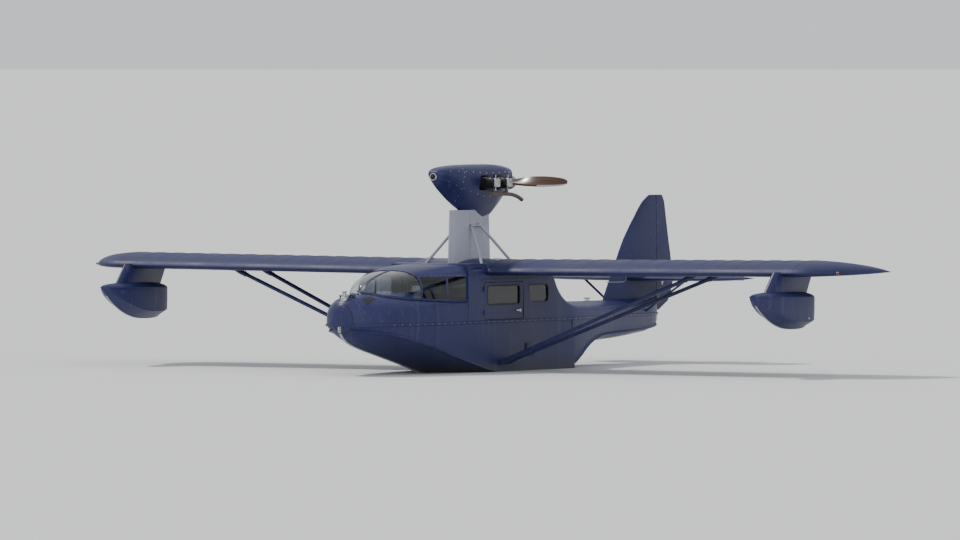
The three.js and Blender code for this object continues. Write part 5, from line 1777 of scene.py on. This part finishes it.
# Floor and seat box: varnished plywood boards with open joints, carried up into the footwell, and a
# locker under the seats with two small doors and turned knobs.
board_wood = timber(
    "varnished floor boards", (0.17, 0.085, 0.035), (0.32, 0.18, 0.08), (38, 2.2, 38), 0.35,
)
ply = timber(
    "varnished plywood", (0.24, 0.13, 0.055), (0.4, 0.24, 0.11), (2.5, 30, 30), 0.3,
    ("Z", 0.06),
)
floor_outline = [
    (WELL_REAR - SEAM, -0.018), (WELL_REAR - SEAM, 0), (-0.95, 0), (-1.85, 0.31), (-1.85, 0.292),
    (-0.95, -0.018),
]
boards = shared(slab(floor_outline, "x", -0.54, 0.54), well(WALL + SEAM, HULL_TOP))
joints = together(*[block((x - 0.001, x + 0.001), (-2, 1), (-0.1, 0.4)) for x in steps(-0.44, 0.44, 8)])
piece("floor_boards", cut(boards, joints), board_wood, ["cabin_floor"])
foot_rails = [
    rod((-0.36, y, (y + 0.95) * -0.3444 + 0.006), (0.36, y, (y + 0.95) * -0.3444 + 0.006), 0.006, 12)
    for y in steps(-1.2, -1.65, 5)
]
seat_box = softened(block((-0.44, 0.44), (-0.6, -0.11), (SEAM, 0.18)), 0.005)
lockers = [softened(block((x, x + 0.36), (-0.608, -0.601), (0.03, 0.15)), 0.003) for x in (-0.4, 0.04)]
piece("seat_box_panels", together(seat_box, *lockers), ply, ["seat_box"])
knob = [(0, 0), (0.006, 0), (0.006, 0.008), (0.011, 0.014), (0.012, 0.019), (0.008, 0.023), (0, 0.024)]
knobs = [spun(knob, (x, -0.608, 0.09), (0, -1, 0), 16) for x in (-0.1, 0.1)]
piece("floor_fittings", together(*foot_rails, *knobs), alloy)

# Seats: moulded plywood shells with stitched tan leather cushions, stuffed so that they crown, piped
# round the edge and sewn down in three channels, and a lap belt laid over each.
leather, tree, sockets = finish("tan leather")
place = spot(tree)
cells = node(tree, "TexVoronoi", {"Vector": place, "Scale": 420.0}, feature="DISTANCE_TO_EDGE")
pebbles = stretched(tree, 0, 0.25, cells.outputs["Distance"])
scuffs = stretched(tree, 0.5, 0.72, noise(tree, place, 11, 5))
hide = blended(tree, noise(tree, place, 4, 3), (0.16, 0.062, 0.024), (0.23, 0.095, 0.038))
hide = blended(tree, times(tree, scuffs, 0.45), hide, (0.34, 0.2, 0.11))
# The grooves between the grain's pebbles are darkened: a painted shade in those hollows.
hide = blended(tree, stretched(tree, 0.3, 0, pebbles, 0, 0.5), hide, (0.06, 0.024, 0.012))
creases = plus(tree, times(tree, noise(tree, place, 30, 4), 0.7), pebbles)
fed(
    tree, sockets, Base_Color=hide, Roughness=stretched(tree, 0, 1, scuffs, 0.42, 0.62),
    Sheen_Weight=0.08, Normal=bumped(tree, 0.35, 0.0012, creases),
)

CUSHION = {"seat": (0.385, 0.42, 0.05), "back": (0.385, 0.47, 0.07)}


def pad_form(width, length, height):
    """A stuffed pad standing on the origin: crowned, its sides pulled in between the corners."""
    bm = bmesh.new()
    bmesh.ops.create_cube(bm, size=2)
    bmesh.ops.subdivide_edges(bm, edges=bm.edges, cuts=17, use_grid_fill=True)
    for vert in bm.verts:
        u, v, w = vert.co
        full = (1 - u**4) * (1 - v**4)
        edge = 1 - 0.05 * w * w
        vert.co.x = u * width / 2 * (1 - 0.035 * (1 - v * v)) * edge
        vert.co.y = v * length / 2 * (1 - 0.03 * (1 - u * u)) * edge
        vert.co.z = height / 2 * (1 + w * (0.6 + 0.4 * full)) if w > 0 else height / 2 * (1 + w)
    return bm


def plumped(bm, voxel=0.008, most=0.009):
    """Swells a pad with air pressure as a cloth; no point moves further than most."""
    stage = bpy.context.scene
    mesh = as_mesh("blank", bm)
    pad = placed("blank", mesh)
    even = pad.modifiers.new("even", "REMESH")
    even.mode = "VOXEL"
    even.voxel_size = voxel
    at_rest = bpy.data.meshes.new_from_object(pad.evaluated_get(bpy.context.evaluated_depsgraph_get()))
    pad.modifiers.clear()
    pad.data = at_rest
    stuffed = pad.modifiers.new("stuffed", "CLOTH").settings
    stuffed.use_pressure = True
    stuffed.uniform_pressure_force = 4
    stuffed.effector_weights.gravity = 0
    for frame in range(1, 21):
        stage.frame_set(frame)
    swollen = bmesh.new()
    swollen.from_object(pad, bpy.context.evaluated_depsgraph_get())
    for vert, home in zip(swollen.verts, at_rest.vertices):
        move = vert.co - home.co
        vert.co = home.co + move.normalized() * min(move.length, most)
        vert.co.z = max(vert.co.z, 0)
    stage.frame_set(1)
    bpy.data.objects.remove(pad)
    for spare in (mesh, at_rest):
        bpy.data.meshes.remove(spare)
    return swollen


def sewn(bm, width, height):
    """Pulls a pad's top down along its three sewn channels."""
    for vert in bm.verts:
        if vert.co.z > height * 0.6:
            off = min(abs(vert.co.x - width * share) for share in (-0.24, 0, 0.24))
            vert.co.z -= 0.009 * exp(-((off / 0.009) ** 2))
    return bm


def piping(width, length, height):
    outline = rounded((-width / 2, width / 2), (-length / 2, length / 2), 0.03, 6)
    return swept(no_doubles([Vector((x, y, height)) for x, y in outline]), circle(0.0035, 8), UP, loop=True)


webbing, tree, sockets = finish("grey webbing")
cords = node(tree, "TexWave", {"Vector": spot(tree), "Scale": 160.0, "Distortion": 0.4}).outputs["Fac"]
tone = blended(tree, cords, (0.05, 0.052, 0.055), (0.11, 0.112, 0.115))
fed(tree, sockets, Base_Color=tone, Roughness=0.85, Normal=bumped(tree, 0.5, 0.0008, cords))

lean = atan2(0.13, 0.5)
placings = {
    "seat": Matrix.Translation((0.23, -0.385, 0.221)) @ Matrix.Rotation(radians(-3), 4, "X"),
    "back": Matrix.Translation((0.23, 0.004, 0.55)) @ Matrix.Rotation(pi / 2 - lean, 4, "X"),
}
seat_pan = slab(
    [(-0.62, 0.1804), (-0.624, 0.222), (-0.6, 0.236), (-0.15, 0.211), (-0.11, 0.205), (-0.1, 0.1804)],
    "x", 0.026, 0.434,
)
seat_shell = slab(
    [
        (-0.1, 0.1804), (-0.05, 0.3), (0.08, 0.8), (0.066, 0.806), (0.054, 0.8), (-0.066, 0.305),
        (-0.116, 0.1804),
    ],
    "x", 0.026, 0.434,
)
belt_path = smooth_path(
    [
        (0.028, -0.2, 0.22), (0.04, -0.27, 0.262), (0.12, -0.33, 0.281), (0.23, -0.35, 0.285),
        (0.34, -0.33, 0.281), (0.42, -0.27, 0.262), (0.432, -0.2, 0.22),
    ],
    36,
)
belt = swept(belt_path, [(-0.022, -0.001), (-0.022, 0.001), (0.022, 0.001), (0.022, -0.001)], UP)
buckle = softened(block((0.2, 0.26), (-0.376, -0.322), (0.282, 0.293)), 0.003)
pads = {name: plumped(pad_form(*size)) for name, size in CUSHION.items()}
for name, size in CUSHION.items():
    pads[name] = moved(sewn(pads[name], size[0], size[2]), placings[name])
for side, label in SIDES:
    shell = on_side(joined(seat_pan.copy(), seat_shell.copy()), side)
    piece("seat_shell_" + label, shell, ply, ["seat_" + label], corner=40)
    for name, size in CUSHION.items():
        pad = on_side(pads[name], side)
        cushion = piece(name + "_cushion_" + label, pad, leather, corner=180)
        welt = piping(size[0] - 0.004, size[1] - 0.004, size[2] * 0.55)
        welt = on_side(moved(welt, placings[name]), side)
        piece(name + "_piping_" + label, welt, leather, corner=180)
    strap = on_side(belt, side)
    piece("lap_belt_" + label, strap, webbing, corner=50)
    clasp = on_side(buckle, side)
    piece("belt_buckle_" + label, clasp, alloy, corner=40)

# Instrument panel: a black crackle-finished board across the cockpit with round dials, their plain
# scales and needles under glass, and a row of switches.
panel = block((-0.53, 0.53), (-1.345, -1.318), (0.69, 1.0))
panel = shared(panel, carried(deck_ring, deck_lines, steps(-1.4, -1.2, 4), 0.0254, HULL_TOP - 0.05))
piece("panel_board", panel, grit, ["instrument_panel"])
bezels, scales, switches = [], [], []
bezel = [(0.036, 0), (0.045, 0), (0.045, 0.005), (0.041, 0.009), (0.037, 0.008), (0.036, 0)]
for k, x in enumerate((-0.34, -0.23, -0.12, 0.12, 0.23, 0.34)):
    for z in (0.875, 0.775):
        bezels.append(spun(bezel, (x, -1.3185, z), (0, 1, 0), 32))
        for turn in steps(-135, 135, 12) + [-60 + 25 * k]:
            spoke = block((-0.0012, 0.0012), (-1.3185, -1.3168), (0.026, 0.034))
            if turn == -60 + 25 * k:
                spoke = block((-0.0015, 0.0015), (-1.3185, -1.3155), (-0.008, 0.026))
            turned = Matrix.Rotation(radians(turn), 4, "Y")
            scales.append(moved(spoke, Matrix.Translation((x, 0, z)) @ turned))
for x in steps(-0.05, 0.05, 4):
    switches.append(rod((x, -1.3185, 0.8), (x, -1.312, 0.8), 0.006, 12))
    switches.append(rod((x, -1.314, 0.8), (x, -1.298, 0.808), 0.0025, 10))
piece("dial_bezels", together(*bezels), rubber, corner=50)
enamel = painted("cream enamel", (0.7, 0.68, 0.6), (0.6, 0.57, 0.48), 0.5, 0, 0, 40)
piece("dial_scales", together(*scales), enamel)
piece("panel_switches", together(*switches), alloy)

# Controls: a steel column that forks to two hand wheels with rubber grips, and rudder pedals.
column = tube(
    smooth_path([(0, -0.994, 0.0), (0, -1.03, 0.16), (0, -1.09, 0.42), (0, -1.13, 0.6)], 16), 0.02, 20,
)
gaiter = spun(
    [
        (0, 0), (0.05, 0), (0.052, 0.006), (0.044, 0.014), (0.046, 0.022), (0.037, 0.03), (0.039, 0.038),
        (0.03, 0.046), (0.031, 0.054), (0.022, 0.062), (0, 0.062),
    ],
    (0, -1.0, 0.019), (0, -0.2, 1), 24,
)
crossbar = rod((-0.25, -1.131, 0.601), (0.25, -1.131, 0.601), 0.013, 20)
wheels, grips, pedals = [], [gaiter], []
for x in (-0.23, 0.23):
    wheels.append(rod((x, -1.13, 0.601), (x, -1.042, 0.601), 0.013, 16))
    rim_of_wheel = smooth_path(
        [
            (x - 0.12, -1.041, 0.685), (x - 0.121, -1.041, 0.635), (x - 0.085, -1.041, 0.602),
            (x, -1.041, 0.6), (x + 0.085, -1.041, 0.602), (x + 0.121, -1.041, 0.635),
            (x + 0.12, -1.041, 0.685),
        ],
        36,
    )
    wheels.append(tube(rim_of_wheel, 0.0085, 12))
    for way in (-1, 1):
        grips.append(
            spun(
                [
                    (0, 0), (0.012, 0), (0.0135, 0.01), (0.012, 0.03), (0.0135, 0.045), (0.01, 0.056),
                    (0, 0.058),
                ],
                (x + way * 0.12, -1.041, 0.636), (0, 0, 1), 20,
            )
        )
        pedal = softened(
            block((x + way * 0.08 - 0.035, x + way * 0.08 + 0.035), (-1.655, -1.643), (0.31, 0.4)), 0.004,
        )
        pedals += [pedal, rod((x + way * 0.08, -1.65, 0.25), (x + way * 0.08, -1.65, 0.32), 0.008, 12)]
black_steel = painted(
    "black stoved steel", (0.012, 0.012, 0.014), (0.025, 0.025, 0.027), 0.35, 0, 0, 40,
)
column = cut(
    column, shifted(slab(floor_outline[1:4] + [(-1.85, -0.3), (0.8, -0.3)], "x", -0.54, 0.54), 0, 0, SEAM),
)
piece("control_forks", together(column, crossbar, *wheels), black_steel, ["control_column"], corner=40)
piece("wheel_grips", together(*grips), rubber, corner=40)
piece("rudder_pedals", together(*pedals), alloy)
